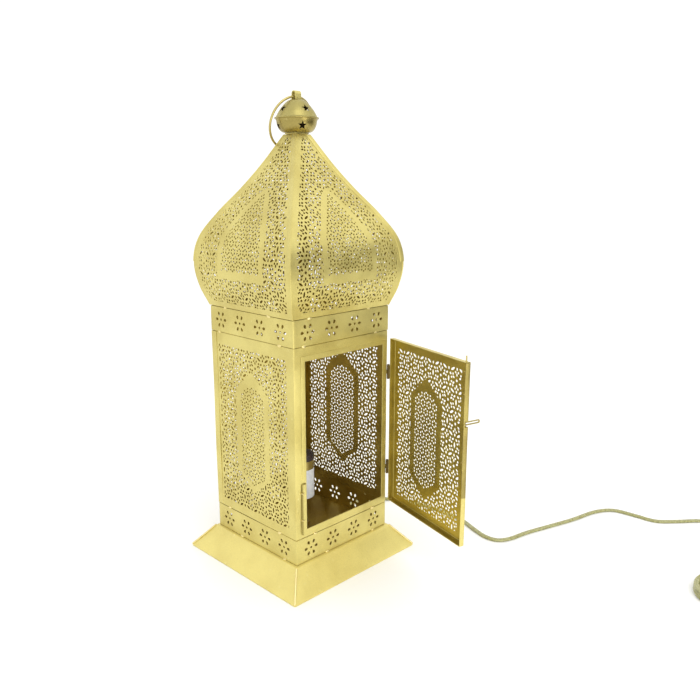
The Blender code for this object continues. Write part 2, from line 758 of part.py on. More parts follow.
def make_cord():
    """The bushing in the foot, the lead inside it, and the free cord with its coil and plug."""
    x, y, z = EXIT
    low, high = (x - 0.0075, y - 0.0046, 0.0), (x - GAP, y + 0.0046, 0.0066)
    bushing = add_box("cord_bushing", low, high, CORD)
    slot = (x - 0.02, y - 0.0031, z - 0.0018), (x + 0.01, y + 0.0031, z + 0.0018)
    cut(bushing, box_cutter("bushing_slot", *slot))
    inside = [
        (x - 0.0080, y, z),
        (0.0780, y - 0.0005, 0.0042),
        (0.0600, 0.0340, 0.0050),
        (0.0350, 0.0220, 0.0066),
        (0.0150, 0.0100, 0.0100),
        (0.0040, 0.0030, 0.0160),
        (0.0, 0.0, 0.0240),
        (0.0, 0.0, 0.0400),
    ]
    line = evenly_spaced(smooth_line(inside, 6), 0.006)
    add_wire("inner_lead", line, CORD_THICK / 2, CORD)
    section = cord_section()
    for name, points in (("cord_run", CORD_ROUTE), ("cord_tail", CORD_TAIL)):
        made = add_wire(name, evenly_spaced(smooth_line(points, 6), CORD_STEP), CORD_WIDE / 2, CORD)
        made.data.bevel_mode = "OBJECT"
        made.data.bevel_object = section
        made.data.twist_mode = "Z_UP"
    inner, outer = COIL_R
    bevel = 0.0020
    ring = (
        (outer - bevel, COIL_HIGH),
        (outer, COIL_HIGH - bevel),
        (outer, bevel),
        (outer - bevel, 0.0001),
        (inner + bevel, 0.0001),
        (inner, bevel),
        (inner, COIL_HIGH - bevel),
        (inner + bevel, COIL_HIGH),
    )
    add_turned("cord_coil", ring, CORD, True, None, (*COIL_CENTRE, 0))
    make_plug()


def cord_section():
    """The flat cord's cross-section, a flattened ring of eight points."""
    curve = bpy.data.curves.new("cord_section", "CURVE")
    spline = curve.splines.new("POLY")
    spline.use_cyclic_u = True
    wide, thick = CORD_WIDE / 2, CORD_THICK / 2
    flat = wide - thick
    points = []
    for side in (1, -1):
        for turn in (-60, -20, 20, 60):
            angle = math.radians(turn)
            points.append((side * (flat + thick * math.cos(angle)), side * thick * math.sin(angle)))
    spline.points.add(len(points) - 1)
    for target, (x, y) in zip(spline.points, reversed(points)):
        target.co = (x, y, 0.0, 1.0)
    made = bpy.data.objects.new("cord_section", curve)
    CUTTERS.objects.link(made)
    made.hide_render = True
    return made


def make_plug():
    """A flat two-pin plug, lying on its broad side."""
    long, wide, thick = PLUG_BODY
    axis = add_axis("plug_place", PLUG_PLACE, (0, 0, math.radians(PLUG_TURN_DEG)))
    bm = bmesh.new()
    bmesh.ops.create_cube(bm, size=1.0, matrix=Matrix.Diagonal((long, wide, thick, 1.0)))
    for vert in bm.verts:
        if vert.co.x < 0:
            vert.co.y *= 0.42
            vert.co.z *= 0.62
    body = add_object("plug_body", mesh_from(bm, "plug_body"), CORD, axis)
    edges = body.modifiers.new("edges", "BEVEL")
    edges.width = 0.0016
    edges.segments = 2
    for i, side in enumerate((-1, 1)):
        place = (long / 2 + GAP + PLUG_PIN_LONG / 2, side * PIN_SPACING / 2, 0)
        rod = rod_mesh(f"plug_pin_{i + 1}", PLUG_PIN_R, PLUG_PIN_LONG, 16)
        add_object(f"plug_pin_{i + 1}", rod, BRASS, axis, place, (0, math.pi / 2, 0))


make_foot()
make_bands()
make_body()
make_dome()
make_finial()
make_ring()
make_door()
make_catch()
make_lampholder()
make_cord()
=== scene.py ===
"""The looks of a moroccan metal lantern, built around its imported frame: punched gold sheet, bent wire,
a lampholder and a flat cord with its plug. Metres, +Z up, and the doorway faces -Y."""

import math
import random

import bmesh
import bpy
import numpy as np
from mathutils import Matrix, Vector
from mathutils.geometry import delaunay_2d_cdt


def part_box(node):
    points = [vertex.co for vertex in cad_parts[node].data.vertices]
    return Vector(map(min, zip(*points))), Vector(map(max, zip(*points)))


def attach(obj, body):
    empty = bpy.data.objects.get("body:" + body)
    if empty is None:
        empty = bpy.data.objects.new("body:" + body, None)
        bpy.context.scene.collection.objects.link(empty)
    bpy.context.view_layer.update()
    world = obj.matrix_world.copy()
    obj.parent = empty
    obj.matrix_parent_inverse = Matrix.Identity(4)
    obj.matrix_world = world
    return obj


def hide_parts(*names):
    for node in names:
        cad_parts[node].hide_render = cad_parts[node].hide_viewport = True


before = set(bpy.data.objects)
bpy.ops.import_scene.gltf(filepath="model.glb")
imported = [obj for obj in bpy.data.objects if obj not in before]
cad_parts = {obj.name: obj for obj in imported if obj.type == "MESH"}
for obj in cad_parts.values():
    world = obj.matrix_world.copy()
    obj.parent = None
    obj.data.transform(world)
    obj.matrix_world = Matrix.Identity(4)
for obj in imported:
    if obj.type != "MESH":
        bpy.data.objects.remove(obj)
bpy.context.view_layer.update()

# Camera.
CAMERA_AT = Vector((-0.52452, -0.60060, 0.42133))
CAMERA_TARGET = Vector((0.03989, -0.04018, 0.24109))
CAMERA_ROLL_DEG = 0.078
CAMERA_LENS_MM = 37.05
CAMERA_SENSOR_MM = 36.0

# Body and door, as in the frame.
BODY_HALF = 0.0700
SHEET = 0.0005
DOOR_AXIS = Vector((0.0719, -0.0700, 0.0))
DOOR_OPEN_DEG = 75.0
DOOR_FRAME = Matrix.Translation(DOOR_AXIS) @ Matrix.Rotation(math.radians(DOOR_OPEN_DEG), 4, "Z")

# Cord: the route's own points, from the bushing along the floor to the coil.
CORD_WIDE = 0.0056
CORD_THICK = 0.0030
CORD_SPANS = 5
CORD_LOW_Z = 0.0016
CORD_EXIT = (0.0972, 0.0400, 0.0034)
CORD_ROUTE = (
    CORD_EXIT,
    (0.1040, 0.0400, 0.0028),
    (0.1140, 0.0396, 0.0019),
    (0.1280, 0.0380, CORD_LOW_Z),
    (0.1500, 0.0285, CORD_LOW_Z),
    (0.1690, 0.0125, CORD_LOW_Z),
    (0.1815, -0.0100, CORD_LOW_Z),
    (0.1880, -0.0400, CORD_LOW_Z),
    (0.1895, -0.0700, CORD_LOW_Z),
    (0.1868, -0.0989, CORD_LOW_Z),
    (0.1779, -0.1225, CORD_LOW_Z),
    (0.1712, -0.1440, CORD_LOW_Z),
    (0.1738, -0.1608, CORD_LOW_Z),
    (0.1888, -0.1700, CORD_LOW_Z),
    (0.2154, -0.1756, CORD_LOW_Z),
    (0.2520, -0.1869, CORD_LOW_Z),
    (0.2900, -0.1986, CORD_LOW_Z),
    (0.3310, -0.2080, CORD_LOW_Z),
    (0.3535, -0.2235, CORD_LOW_Z),
    (0.3585, -0.2500, CORD_LOW_Z),
    (0.3615, -0.2760, CORD_LOW_Z),
    (0.3790, -0.2955, CORD_LOW_Z),
    (0.4020, -0.3160, CORD_LOW_Z),
    (0.4170, -0.3400, CORD_LOW_Z),
    (0.4150, -0.3700, CORD_LOW_Z),
    (0.3960, -0.3980, CORD_LOW_Z),
    (0.3630, -0.4180, CORD_LOW_Z),
    (0.3260, -0.4310, CORD_LOW_Z),
    (0.2920, -0.4390, CORD_LOW_Z),
    (0.2665, -0.4375, CORD_LOW_Z),
)
# From the coil to the plug.
CORD_TAIL = (
    (0.2730, -0.3781, 0.0074),
    (0.2820, -0.3808, 0.0072),
    (0.2920, -0.3838, 0.0070),
    (0.3007, -0.3864, 0.0069),
)
# The coil winds clockwise: each turn's radius and height, from the first turn to the last.
COIL_CENTRE = (0.2432, -0.4045)
COIL_TURNS = (
    (0.0338, 0.0017),
    (0.0281, 0.0017),
    (0.0282, 0.0048),
    (0.0338, 0.0048),
    (0.0337, 0.0079),
)
COIL_START_DEG = -90.0
COIL_SWEEP_DEG = 4 * 360 + 196.7
COIL_CROSSING = 0.2


def add_camera():
    data = bpy.data.cameras.new("camera")
    data.lens = CAMERA_LENS_MM
    data.sensor_width = CAMERA_SENSOR_MM
    made = bpy.data.objects.new("camera", data)
    bpy.context.scene.collection.objects.link(made)
    aim = (CAMERA_TARGET - CAMERA_AT).to_track_quat("-Z", "Y").to_matrix().to_4x4()
    roll = Matrix.Rotation(math.radians(CAMERA_ROLL_DEG), 4, "Z")
    made.matrix_world = Matrix.Translation(CAMERA_AT) @ aim @ roll
    bpy.context.scene.camera = made


def smooth_line(points, spans):
    """Points on a smooth curve through the given ones, with that many spans between two of them."""
    points = [Vector(p) for p in points]
    ends = [2 * points[0] - points[1], *points, 2 * points[-1] - points[-2]]
    line = [points[0]]
    for a, b, c, d in zip(ends, ends[1:], ends[2:], ends[3:]):
        for step in range(1, spans + 1):
            t = step / spans
            line.append(
                0.5 * (2 * b + (c - a) * t + (2 * a - 5 * b + 4 * c - d) * t**2)
                + 0.5 * (3 * b - 3 * c + d - a) * t**3
            )
    return line


def ease(t):
    t = min(1.0, max(0.0, t))
    return t * t * (3 - 2 * t)


def coil_line(step_deg=6.0):
    """The coil's turns. Each turn crosses to the next one's radius and height over its last part."""
    line = []
    steps = round(COIL_SWEEP_DEG / step_deg)
    for i in range(steps + 1):
        swept = COIL_SWEEP_DEG * i / steps
        turn = min(int(swept // 360), len(COIL_TURNS) - 1)
        after = min(turn + 1, len(COIL_TURNS) - 1)
        share = ease(((swept - 360 * turn) / 360 - (1 - COIL_CROSSING)) / COIL_CROSSING)
        radius, height = (
            a + (b - a) * share for a, b in zip(COIL_TURNS[turn], COIL_TURNS[after])
        )
        angle = math.radians(COIL_START_DEG - swept)
        line.append(
            Vector(
                (
                    COIL_CENTRE[0] + radius * math.cos(angle),
                    COIL_CENTRE[1] + radius * math.sin(angle),
                    height,
                )
            )
        )
    return line


def cord_line():
    """The whole cord's centreline: its route, the coil and the tail to the plug."""
    route = smooth_line(CORD_ROUTE, CORD_SPANS)
    tail = smooth_line(CORD_TAIL, CORD_SPANS)
    return route + coil_line() + tail


# ---------------------------------------------------------------- materials


def new_material(name, colour, roughness, metallic):
    made = bpy.data.materials.new(name)
    made.use_nodes = True
    shader = made.node_tree.nodes["Principled BSDF"]
    shader.inputs["Base Color"].default_value = (*colour, 1.0)
    shader.inputs["Roughness"].default_value = roughness
    shader.inputs["Metallic"].default_value = metallic
    return made, shader


# The span of a noise that a tint or a roughness runs over.
NOISE_LOW, NOISE_HIGH = 0.3, 0.7


def add_noise(material, scale, detail=3.0, stretch=(1.0, 1.0, 1.0)):
    """A noise texture over the piece's own coordinates, in features per metre."""
    nodes, links = material.node_tree.nodes, material.node_tree.links
    place = nodes.new("ShaderNodeTexCoord")
    mapping = nodes.new("ShaderNodeMapping")
    mapping.inputs["Scale"].default_value = stretch
    noise = nodes.new("ShaderNodeTexNoise")
    noise.inputs["Scale"].default_value = scale
    noise.inputs["Detail"].default_value = detail
    links.new(place.outputs["Object"], mapping.inputs["Vector"])
    links.new(mapping.outputs["Vector"], noise.inputs["Vector"])
    return noise.outputs["Fac"]


def add_ramp(material, value, stops):
    """Colours or greys between stops of (position, colour)."""
    ramp = material.node_tree.nodes.new("ShaderNodeValToRGB")
    material.node_tree.links.new(value, ramp.inputs["Fac"])
    elements = ramp.color_ramp.elements
    while len(elements) < len(stops):
        elements.new(0.5)
    for element, (position, colour) in zip(elements, stops):
        element.position = position
        element.color = (*colour, 1.0)
    return ramp.outputs["Color"]


def add_range(material, value, low, high):
    """The noise's span, as a number from low to high."""
    node = material.node_tree.nodes.new("ShaderNodeMapRange")
    node.inputs["From Min"].default_value = NOISE_LOW
    node.inputs["From Max"].default_value = NOISE_HIGH
    node.inputs["To Min"].default_value = low
    node.inputs["To Max"].default_value = high
    material.node_tree.links.new(value, node.inputs["Value"])
    return node.outputs["Result"]


def add_tint(material, value, low, high):
    """The noise's span, as a colour from low to high."""
    return add_ramp(material, value, ((NOISE_LOW, low), (NOISE_HIGH, high)))


def mix_colours(material, share, first, second, kind="MIX"):
    node = material.node_tree.nodes.new("ShaderNodeMix")
    node.data_type = "RGBA"
    node.blend_type = kind
    for socket, value in (("Factor", share), ("A", first), ("B", second)):
        if isinstance(value, bpy.types.NodeSocket):
            material.node_tree.links.new(value, node.inputs[socket])
        else:
            node.inputs[socket].default_value = value
    return node.outputs["Result"]


def add_bump(material, shader, heights):
    """Bumps laid over each other, each of (value, depth in metres)."""
    nodes, links = material.node_tree.nodes, material.node_tree.links
    normal = None
    for value, depth in heights:
        bump = nodes.new("ShaderNodeBump")
        bump.inputs["Distance"].default_value = depth
        links.new(value, bump.inputs["Height"])
        if normal is not None:
            links.new(normal, bump.inputs["Normal"])
        normal = bump.outputs["Normal"]
    links.new(normal, shader.inputs["Normal"])


# Bumps' depths.
GRAIN, PLASTIC_GRAIN, SOFT_GRAIN = 0.00006, 0.00003, 0.00005
DENT = 0.0006
FULL_BLACK, FULL_WHITE, SPECKLE = (0, 0, 0), (1, 1, 1), (0.86, 0.86, 0.86)


def painted_gold(name, light, dark, worn, roughness, metallic):
    """Gold spray over metal: soft blotches, fine grain, rubbed spots and a slightly uneven gloss."""
    made, shader = new_material(name, light, sum(roughness) / 2, metallic)
    links = made.node_tree.links
    blotches = add_ramp(made, add_noise(made, 26.0, 4.0), ((0.34, dark), (0.62, light)))
    rubbed = add_ramp(made, add_noise(made, 170.0, 5.0), ((0.66, FULL_BLACK), (0.82, FULL_WHITE)))
    speckle = add_ramp(made, add_noise(made, 1500.0, 2.0), ((0.30, SPECKLE), (0.55, FULL_WHITE)))
    colour = mix_colours(made, rubbed, blotches, (*worn, 1.0))
    links.new(mix_colours(made, 1.0, colour, speckle, "MULTIPLY"), shader.inputs["Base Color"])
    links.new(add_range(made, add_noise(made, 60.0, 4.0), *roughness), shader.inputs["Roughness"])
    add_bump(made, shader, ((add_noise(made, 1300.0, 2.0), GRAIN), (add_noise(made, 45.0, 2.0), DENT)))
    return made


# Each finish's light, dark and rubbed colours, its least and most roughness, and how metallic it is.
FINISHES = {
    "gold_spray": ((0.72, 0.62, 0.21), (0.61, 0.51, 0.155), (0.80, 0.71, 0.30), (0.36, 0.50), 0.70),
    # The inner faces' gold: the same spray, darker as painted shade for the lantern's inside.
    "gold_inside_painted_shade": ((0.50, 0.37, 0.075), (0.37, 0.26, 0.045), (0.60, 0.46, 0.12), (0.30, 0.46), 0.85),
    "gold_wire": ((0.60, 0.50, 0.18), (0.46, 0.37, 0.13), (0.74, 0.66, 0.32), (0.30, 0.42), 0.85),
    # The door's inner face: the same spray, darker as painted shade.
    "gold_door_inside_painted_shade": ((0.52, 0.41, 0.08), (0.40, 0.30, 0.05), (0.66, 0.54, 0.16), (0.30, 0.46), 0.80),
    # The foot's gold: the same spray, lighter and less metallic as painted light on its upturned slope.
    "gold_foot_painted_light": ((0.80, 0.68, 0.22), (0.73, 0.61, 0.19), (0.86, 0.76, 0.34), (0.34, 0.48), 0.35),
    # The finial's cap and bowl: the same spray, darker as painted shade, the bowl darkest.
    "gold_cap_painted_shade": ((0.50, 0.43, 0.15), (0.40, 0.34, 0.11), (0.66, 0.58, 0.26), (0.36, 0.48), 0.85),
    "gold_bowl_painted_shade": ((0.42, 0.34, 0.10), (0.32, 0.25, 0.07), (0.56, 0.47, 0.18), (0.28, 0.40), 0.85),
    "aged_steel": ((0.20, 0.135, 0.03), (0.12, 0.08, 0.02), (0.32, 0.23, 0.07), (0.40, 0.55), 0.50),
    "gold_solder": ((0.88, 0.76, 0.36), (0.80, 0.66, 0.26), (0.96, 0.90, 0.60), (0.25, 0.38), 0.80),
    "plated_steel": ((0.52, 0.48, 0.36), (0.36, 0.31, 0.20), (0.70, 0.66, 0.52), (0.28, 0.45), 0.95),
    # The brass is darkened as painted shade, for the lampholder's ring in the jamb's shadow; the stem,
    # nuts, contact and pins share it.
    "brass": ((0.48, 0.38, 0.13), (0.36, 0.28, 0.09), (0.66, 0.55, 0.24), (0.28, 0.42), 0.90),
}
METALS = {name: painted_gold(name, *finish) for name, finish in FINISHES.items()}
GOLD, GOLD_INSIDE_SHADED, GOLD_WIRE = METALS["gold_spray"], METALS["gold_inside_painted_shade"], METALS["gold_wire"]
GOLD_DOOR_SHADED, GOLD_FOOT_LIT = METALS["gold_door_inside_painted_shade"], METALS["gold_foot_painted_light"]
GOLD_CAP_SHADED, GOLD_BOWL_SHADED = METALS["gold_cap_painted_shade"], METALS["gold_bowl_painted_shade"]
AGED, SOLDER = METALS["aged_steel"], METALS["gold_solder"]
STEEL, BRASS_SHADED = METALS["plated_steel"], METALS["brass"]
# A sheet's outer face, and its inner one, darker as painted shade.
TWO_FACED = (GOLD, GOLD_INSIDE_SHADED)


def plastic(name, colour, tints, scales, roughness):
    """Moulded plastic. The scales are those of its tints, its gloss and its grain."""
    made, shader = new_material(name, colour, sum(roughness) / 2, 0.0)
    links = made.node_tree.links
    links.new(add_tint(made, add_noise(made, scales[0]), *tints), shader.inputs["Base Color"])
    links.new(add_range(made, add_noise(made, scales[1]), *roughness), shader.inputs["Roughness"])
    add_bump(made, shader, ((add_noise(made, scales[2]), PLASTIC_GRAIN),))
    return made


def paper_sleeve():
    made, shader = new_material("paper_sleeve", (0.80, 0.82, 0.84), 0.7, 0.0)
    links = made.node_tree.links
    tint = add_tint(made, add_noise(made, 220.0, 6.0), (0.70, 0.73, 0.76), (0.86, 0.87, 0.88))
    links.new(tint, shader.inputs["Base Color"])
    fibres = add_noise(made, 900.0, 4.0, (1.0, 1.0, 0.25))
    links.new(add_range(made, fibres, 0.62, 0.80), shader.inputs["Roughness"])
    add_bump(made, shader, ((fibres, SOFT_GRAIN),))
    return made


def clear_cord():
    """Clear gold-tinted insulation with the strands' colour showing through."""
    made, shader = new_material("clear_gold_cord", (0.36, 0.35, 0.14), 0.28, 0.0)
    links = made.node_tree.links
    stops = ((0.32, (0.24, 0.23, 0.075)), (0.66, (0.42, 0.41, 0.17)))
    links.new(add_ramp(made, add_noise(made, 420.0, 3.0), stops), shader.inputs["Base Color"])
    links.new(add_range(made, add_noise(made, 120.0), 0.22, 0.36), shader.inputs["Roughness"])
    shader.inputs["Subsurface Weight"].default_value = 0.15
    shader.inputs["Subsurface Radius"].default_value = (0.003, 0.002, 0.001)
    shader.inputs["Coat Weight"].default_value = 0.4
    add_bump(made, shader, ((add_noise(made, 700.0), SOFT_GRAIN),))
    return made


DARK_PLASTIC = plastic(
    "dark_plastic",
    (0.020, 0.012, 0.016),
    ((0.014, 0.009, 0.012), (0.040, 0.022, 0.026)),
    (90.0, 160.0, 1600.0),
    (0.32, 0.50),
)
PLUG_PLASTIC = plastic(
    "plug_plastic",
    (0.42, 0.36, 0.16),
    ((0.34, 0.29, 0.12), (0.48, 0.42, 0.20)),
    (110.0, 200.0, 1400.0),
    (0.28, 0.42),
)
SLEEVE = paper_sleeve()
CORD = clear_cord()


# ---------------------------------------------------------------- mesh helpers


# The angle between faces from which their edge is kept sharp.
TURNED_SHARP_DEG, SHEET_SHARP_DEG, WIRE_SHARP_DEG = 35.0, 40.0, 50.0
WIRE_SIDES, BEAD_SIDES = 14, 10


def link_piece(name, mesh, materials, body, slot, *nodes):
    """A new piece on a body, in place of the named nodes."""
    made = bpy.data.objects.new(name, mesh)
    bpy.context.scene.collection.objects.link(made)
    for material in materials:
        mesh.materials.append(material)
    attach(made, body)
    if nodes:
        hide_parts(*nodes)
    return made


def add_sheet(name, mesh, nodes=(), metals=(GOLD,), body="lantern"):
    """A piece of the gold sheet work, in place of the named nodes."""
    return link_piece(name, mesh, metals, body, "gold_sheet", *nodes)


def smoothed(mesh, smooth_deg):
    mesh.shade_smooth()
    mesh.set_sharp_from_angle(angle=math.radians(smooth_deg))
    return mesh


def mesh_of(name, points, faces, smooth_deg=TURNED_SHARP_DEG, slots=None):
    mesh = bpy.data.meshes.new(name)
    mesh.from_pydata([tuple(p) for p in points], [], [tuple(f) for f in faces])
    if slots is not None:
        mesh.polygons.foreach_set("material_index", np.asarray(slots, np.int32))
    return smoothed(mesh, smooth_deg)


def skin(rings, count, closed=False, flipped=False):
    """Faces over rings of that many points. The last ring joins the first, or both are capped."""
    faces = []
    for i in range(rings if closed else rings - 1):
        a, b = i * count, (i + 1) % rings * count
        for j in range(count):
            k = (j + 1) % count
            faces.append((a + j, b + j, b + k, a + k))
    if not closed:
        faces.append(tuple(range(count)))
        faces.append(tuple((rings - 1) * count + j for j in reversed(range(count))))
    return [(face[0], *reversed(face[1:])) for face in faces] if flipped else faces


def outward(mesh, weld=0.0):
    """The mesh with its faces turned outwards, and with points nearer than the weld made one."""
    bm = bmesh.new()
    bm.from_mesh(mesh)
    if weld:
        bmesh.ops.remove_doubles(bm, verts=bm.verts, dist=weld)
        bmesh.ops.dissolve_degenerate(bm, dist=weld, edges=bm.edges)
    bmesh.ops.recalc_face_normals(bm, faces=bm.faces)
    bm.to_mesh(mesh)
    bm.free()
    return mesh


def tube_mesh(name, line, section, up=Vector((0, 0, 1)), smooth_deg=WIRE_SHARP_DEG):
    """A solid along the line. The section's points are (sideways, up), turning anticlockwise."""
    line = [Vector(p) for p in line]
    count = len(line)
    points = []
    for i, at in enumerate(line):
        along = (line[min(i + 1, count - 1)] - line[max(i - 1, 0)]).normalized()
        side = along.cross(up)
        side = side.normalized() if side.length > 1e-6 else Vector((1, 0, 0))
        rise = side.cross(along)
        points += [at + side * x + rise * z for x, z in section]
    return mesh_of(name, points, skin(count, len(section)), smooth_deg)


def wire_mesh(name, line, radius, sides=WIRE_SIDES):
    """A round wire along the line, as a mesh that turns with it without twisting."""
    line = [Vector(p) for p in line]
    count = len(line)
    points = []
    rise = None
    for i, at in enumerate(line):
        along = (line[min(i + 1, count - 1)] - line[max(i - 1, 0)]).normalized()
        if rise is None:
            rise = along.orthogonal().normalized()
        rise = (rise - along * rise.dot(along)).normalized()
        side = along.cross(rise)
        for j in range(sides):
            turn = 2 * math.pi * j / sides
            points.append(at + side * (radius * math.cos(turn)) + rise * (radius * math.sin(turn)))
    return mesh_of(name, points, skin(count, sides), WIRE_SHARP_DEG)


TURNED_WELD = 0.000002


def turned_mesh(name, profile, steps, smooth_deg=TURNED_SHARP_DEG):
    """A closed profile of (radius, height) turned round Z. It runs down its outer side."""
    points = []
    for i in range(steps):
        turn = 2 * math.pi * i / steps
        points += [(r * math.cos(turn), r * math.sin(turn), z) for r, z in profile]
    mesh = mesh_of(name, points, skin(steps, len(profile), True, True), smooth_deg)
    return smoothed(outward(mesh, TURNED_WELD), smooth_deg)


def rounded(points, radius, steps=6):
    """The line with its corners rounded."""
    points = [Vector(p) for p in points]
    line = [points[0]]
    for before, at, after in zip(points, points[1:], points[2:]):
        start = at + (before - at).normalized() * radius
        end = at + (after - at).normalized() * radius
        for i in range(steps + 1):
            t = i / steps
            line.append(start * (1 - t) ** 2 + at * (2 * t * (1 - t)) + end * t**2)
    return [*line, points[-1]]


def joined(name, parts, smooth_deg=WIRE_SHARP_DEG):
    """One mesh of several bmeshes."""
    whole = bmesh.new()
    for part in parts:
        mesh = bpy.data.meshes.new("part")
        part.to_mesh(mesh)
        part.free()
        whole.from_mesh(mesh)
        bpy.data.meshes.remove(mesh)
    mesh = bpy.data.meshes.new(name)
    whole.to_mesh(mesh)
    whole.free()
    return smoothed(mesh, smooth_deg)


def carved(mesh, cutters, smooth_deg=TURNED_SHARP_DEG):
    """The mesh with other meshes cut out of it."""
    target = bpy.data.objects.new("carved", mesh)
    bpy.context.scene.collection.objects.link(target)
    others = []
    for cutter in cutters:
        other = bpy.data.objects.new("cutter", cutter)
        bpy.context.scene.collection.objects.link(other)
        others.append(other)
        modifier = target.modifiers.new("cut", "BOOLEAN")
        modifier.operation = "DIFFERENCE"
        modifier.object = other
    graph = bpy.context.evaluated_depsgraph_get()
    made = bpy.data.meshes.new_from_object(target.evaluated_get(graph))
    for item in (target, *others):
        bpy.data.objects.remove(item)
    return smoothed(made, smooth_deg)


# ---------------------------------------------------------------- punched sheet


# The corners of a hole's outline: a common hole's, a lens's and a flower's petal's.
HOLE_CORNERS, LENS_CORNERS, PETAL_CORNERS = 8, 10, 12


def oval(cx, cy, along, across, turn_deg=0.0, corners=HOLE_CORNERS, sharp=1.0):
    """A hole's outline: an oval, or a pointed lens where sharp is over 1."""
    turn = math.radians(turn_deg)
    c, s = math.cos(turn), math.sin(turn)
    points = []
    for i in range(corners):
        angle = 2 * math.pi * i / corners
        x = along * math.cos(angle)
        y = across * math.copysign(abs(math.sin(angle)) ** sharp, math.sin(angle))
        points.append((cx + c * x - s * y, cy + s * x + c * y))
    return points


def away(cx, cy, distance, turn_deg):
    turn = math.radians(turn_deg)
    return cx + distance * math.cos(turn), cy + distance * math.sin(turn)


# The rosettes stand in a lattice of this pitch. Sizes are half sizes.
ROSETTE_PITCH = 0.0254
ROSETTE_ROW = ROSETTE_PITCH * math.sqrt(3) / 2
PETALS_AT = 0.23 * ROSETTE_PITCH
DOTS_AT = 0.334 * ROSETTE_PITCH
OVALS_AT = 0.45 * ROSETTE_PITCH
DOT = (0.0015, 0.0015)
PETAL = (0.0018, 0.0011)
OUTER_OVAL = (0.0017, 0.0012)
OUTER_DOT = (0.0013, 0.0012)
LENS = (0.0034, 0.00125)
LENS_SHARP = 1.25
NET_PITCH = 0.0101
NET_ROW = NET_PITCH * math.sqrt(3) / 2
NET_RING = 0.00325
NET_OVAL = (0.00122, 0.00106)


def rosette(cx, cy):
    """A dot, six petals, twelve dots, six ovals, and the lenses on three of the cell's sides."""
    holes = [oval(cx, cy, *DOT)]
    for turn in range(30, 390, 60):
        holes.append(oval(*away(cx, cy, PETALS_AT, turn), *PETAL, turn))
        holes.append(oval(*away(cx, cy, OVALS_AT, turn), *OUTER_OVAL, turn))
    for turn in range(15, 375, 30):
        holes.append(oval(*away(cx, cy, DOTS_AT, turn), *OUTER_DOT, turn))
    for turn in (0, 60, 120):
        middle = away(cx, cy, ROSETTE_PITCH / 2, turn)
        holes.append(oval(*middle, *LENS, turn + 90, LENS_CORNERS, LENS_SHARP))
    return holes


def lattice(low, high, start, pitch, row):
    """Points of a triangular lattice within a box, one of them at start."""
    found = []
    first = math.floor((low[1] - start[1]) / row)
    last = math.ceil((high[1] - start[1]) / row)
    for j in range(first, last + 1):
        shift = start[0] + (pitch / 2 if j % 2 else 0.0)
        i0 = math.floor((low[0] - shift) / pitch)
        i1 = math.ceil((high[0] - shift) / pitch)
        found += [(shift + i * pitch, start[1] + j * row) for i in range(i0, i1 + 1)]
    return found


def rosette_field(low, high, start):
    centres = lattice(low, high, start, ROSETTE_PITCH, ROSETTE_ROW)
    return [hole for centre in centres for hole in rosette(*centre)]


def net_field(low, high, start):
    """The fine net inside a cartouche: rings of six small ovals."""
    holes = []
    for x, y in lattice(low, high, start, NET_PITCH, NET_ROW):
        for turn in range(30, 390, 60):
            holes.append(oval(*away(x, y, NET_RING, turn), *NET_OVAL, turn + 90))
    return holes


def stretched(holes, about, wide, tall):
    """The holes and their places, stretched about a point."""
    x0, y0 = about
    return [[(x0 + (x - x0) * wide, y0 + (y - y0) * tall) for x, y in points] for points in holes]


# Trimming: the least hole's area, how near an edge cuts a hole, and the least side of what is left.
LEAST_HOLE = 1.2e-6
TRIM_REACH = 0.0045
WELD = 0.00008
SAME_POINT = 1e-7
# Distances between a sheet's points, and the least from one on its grid to any other.
WIDE_SPACING, BAND_SPACING, CLOSE_SPACING = 0.006, 0.005, 0.004
GRID_MARGIN = 0.0016


def cut_by_line(points, at, normal):
    """The part of a convex outline on the side of a line that its normal points to."""
    kept = []
    for a, b in zip(points, points[1:] + points[:1]):
        da = (a[0] - at[0]) * normal[0] + (a[1] - at[1]) * normal[1]
        db = (b[0] - at[0]) * normal[0] + (b[1] - at[1]) * normal[1]
        if da >= 0:
            kept.append(a)
        if da * db < 0:
            t = da / (da - db)
            kept.append((a[0] + (b[0] - a[0]) * t, a[1] + (b[1] - a[1]) * t))
    return [p for p, q in zip(kept, kept[1:] + kept[:1]) if math.dist(p, q) > WELD]


def area_of(points):
    pairs = zip(points, points[1:] + points[:1])
    return abs(sum(a[0] * b[1] - b[0] * a[1] for a, b in pairs)) / 2


def inside_loop(x, y, loop):
    found = False
    for (ax, ay), (bx, by) in zip(loop, loop[1:] + loop[:1]):
        if (ay > y) != (by > y) and x < ax + (bx - ax) * (y - ay) / (by - ay):
            found = not found
    return found


def distance_to(x, y, a, b):
    dx, dy = b[0] - a[0], b[1] - a[1]
    t = min(1.0, max(0.0, ((x - a[0]) * dx + (y - a[1]) * dy) / (dx * dx + dy * dy)))
    return math.hypot(x - a[0] - t * dx, y - a[1] - t * dy)


def trimmed(holes, loop, side):
    """The holes inside (side 1) or outside (side -1) an anticlockwise outline, cut along it."""
    kept = []
    edges = list(zip(loop, loop[1:] + loop[:1]))
    for points in holes:
        x = sum(p[0] for p in points) / len(points)
        y = sum(p[1] for p in points) / len(points)
        near = sorted((distance_to(x, y, a, b), i) for i, (a, b) in enumerate(edges))
        if near[0][0] > TRIM_REACH:
            if inside_loop(x, y, loop) == (side > 0):
                kept.append(points)
            continue
        for distance, i in near if side > 0 else near[:1]:
            if distance > TRIM_REACH:
                break
            a, b = edges[i]
            long = math.dist(a, b)
            normal = (-(b[1] - a[1]) / long * side, (b[0] - a[0]) / long * side)
            points = cut_by_line(points, a, normal)
            if len(points) < 3:
                break
        if len(points) > 2 and area_of(points) > LEAST_HOLE:
            kept.append(points)
    return kept


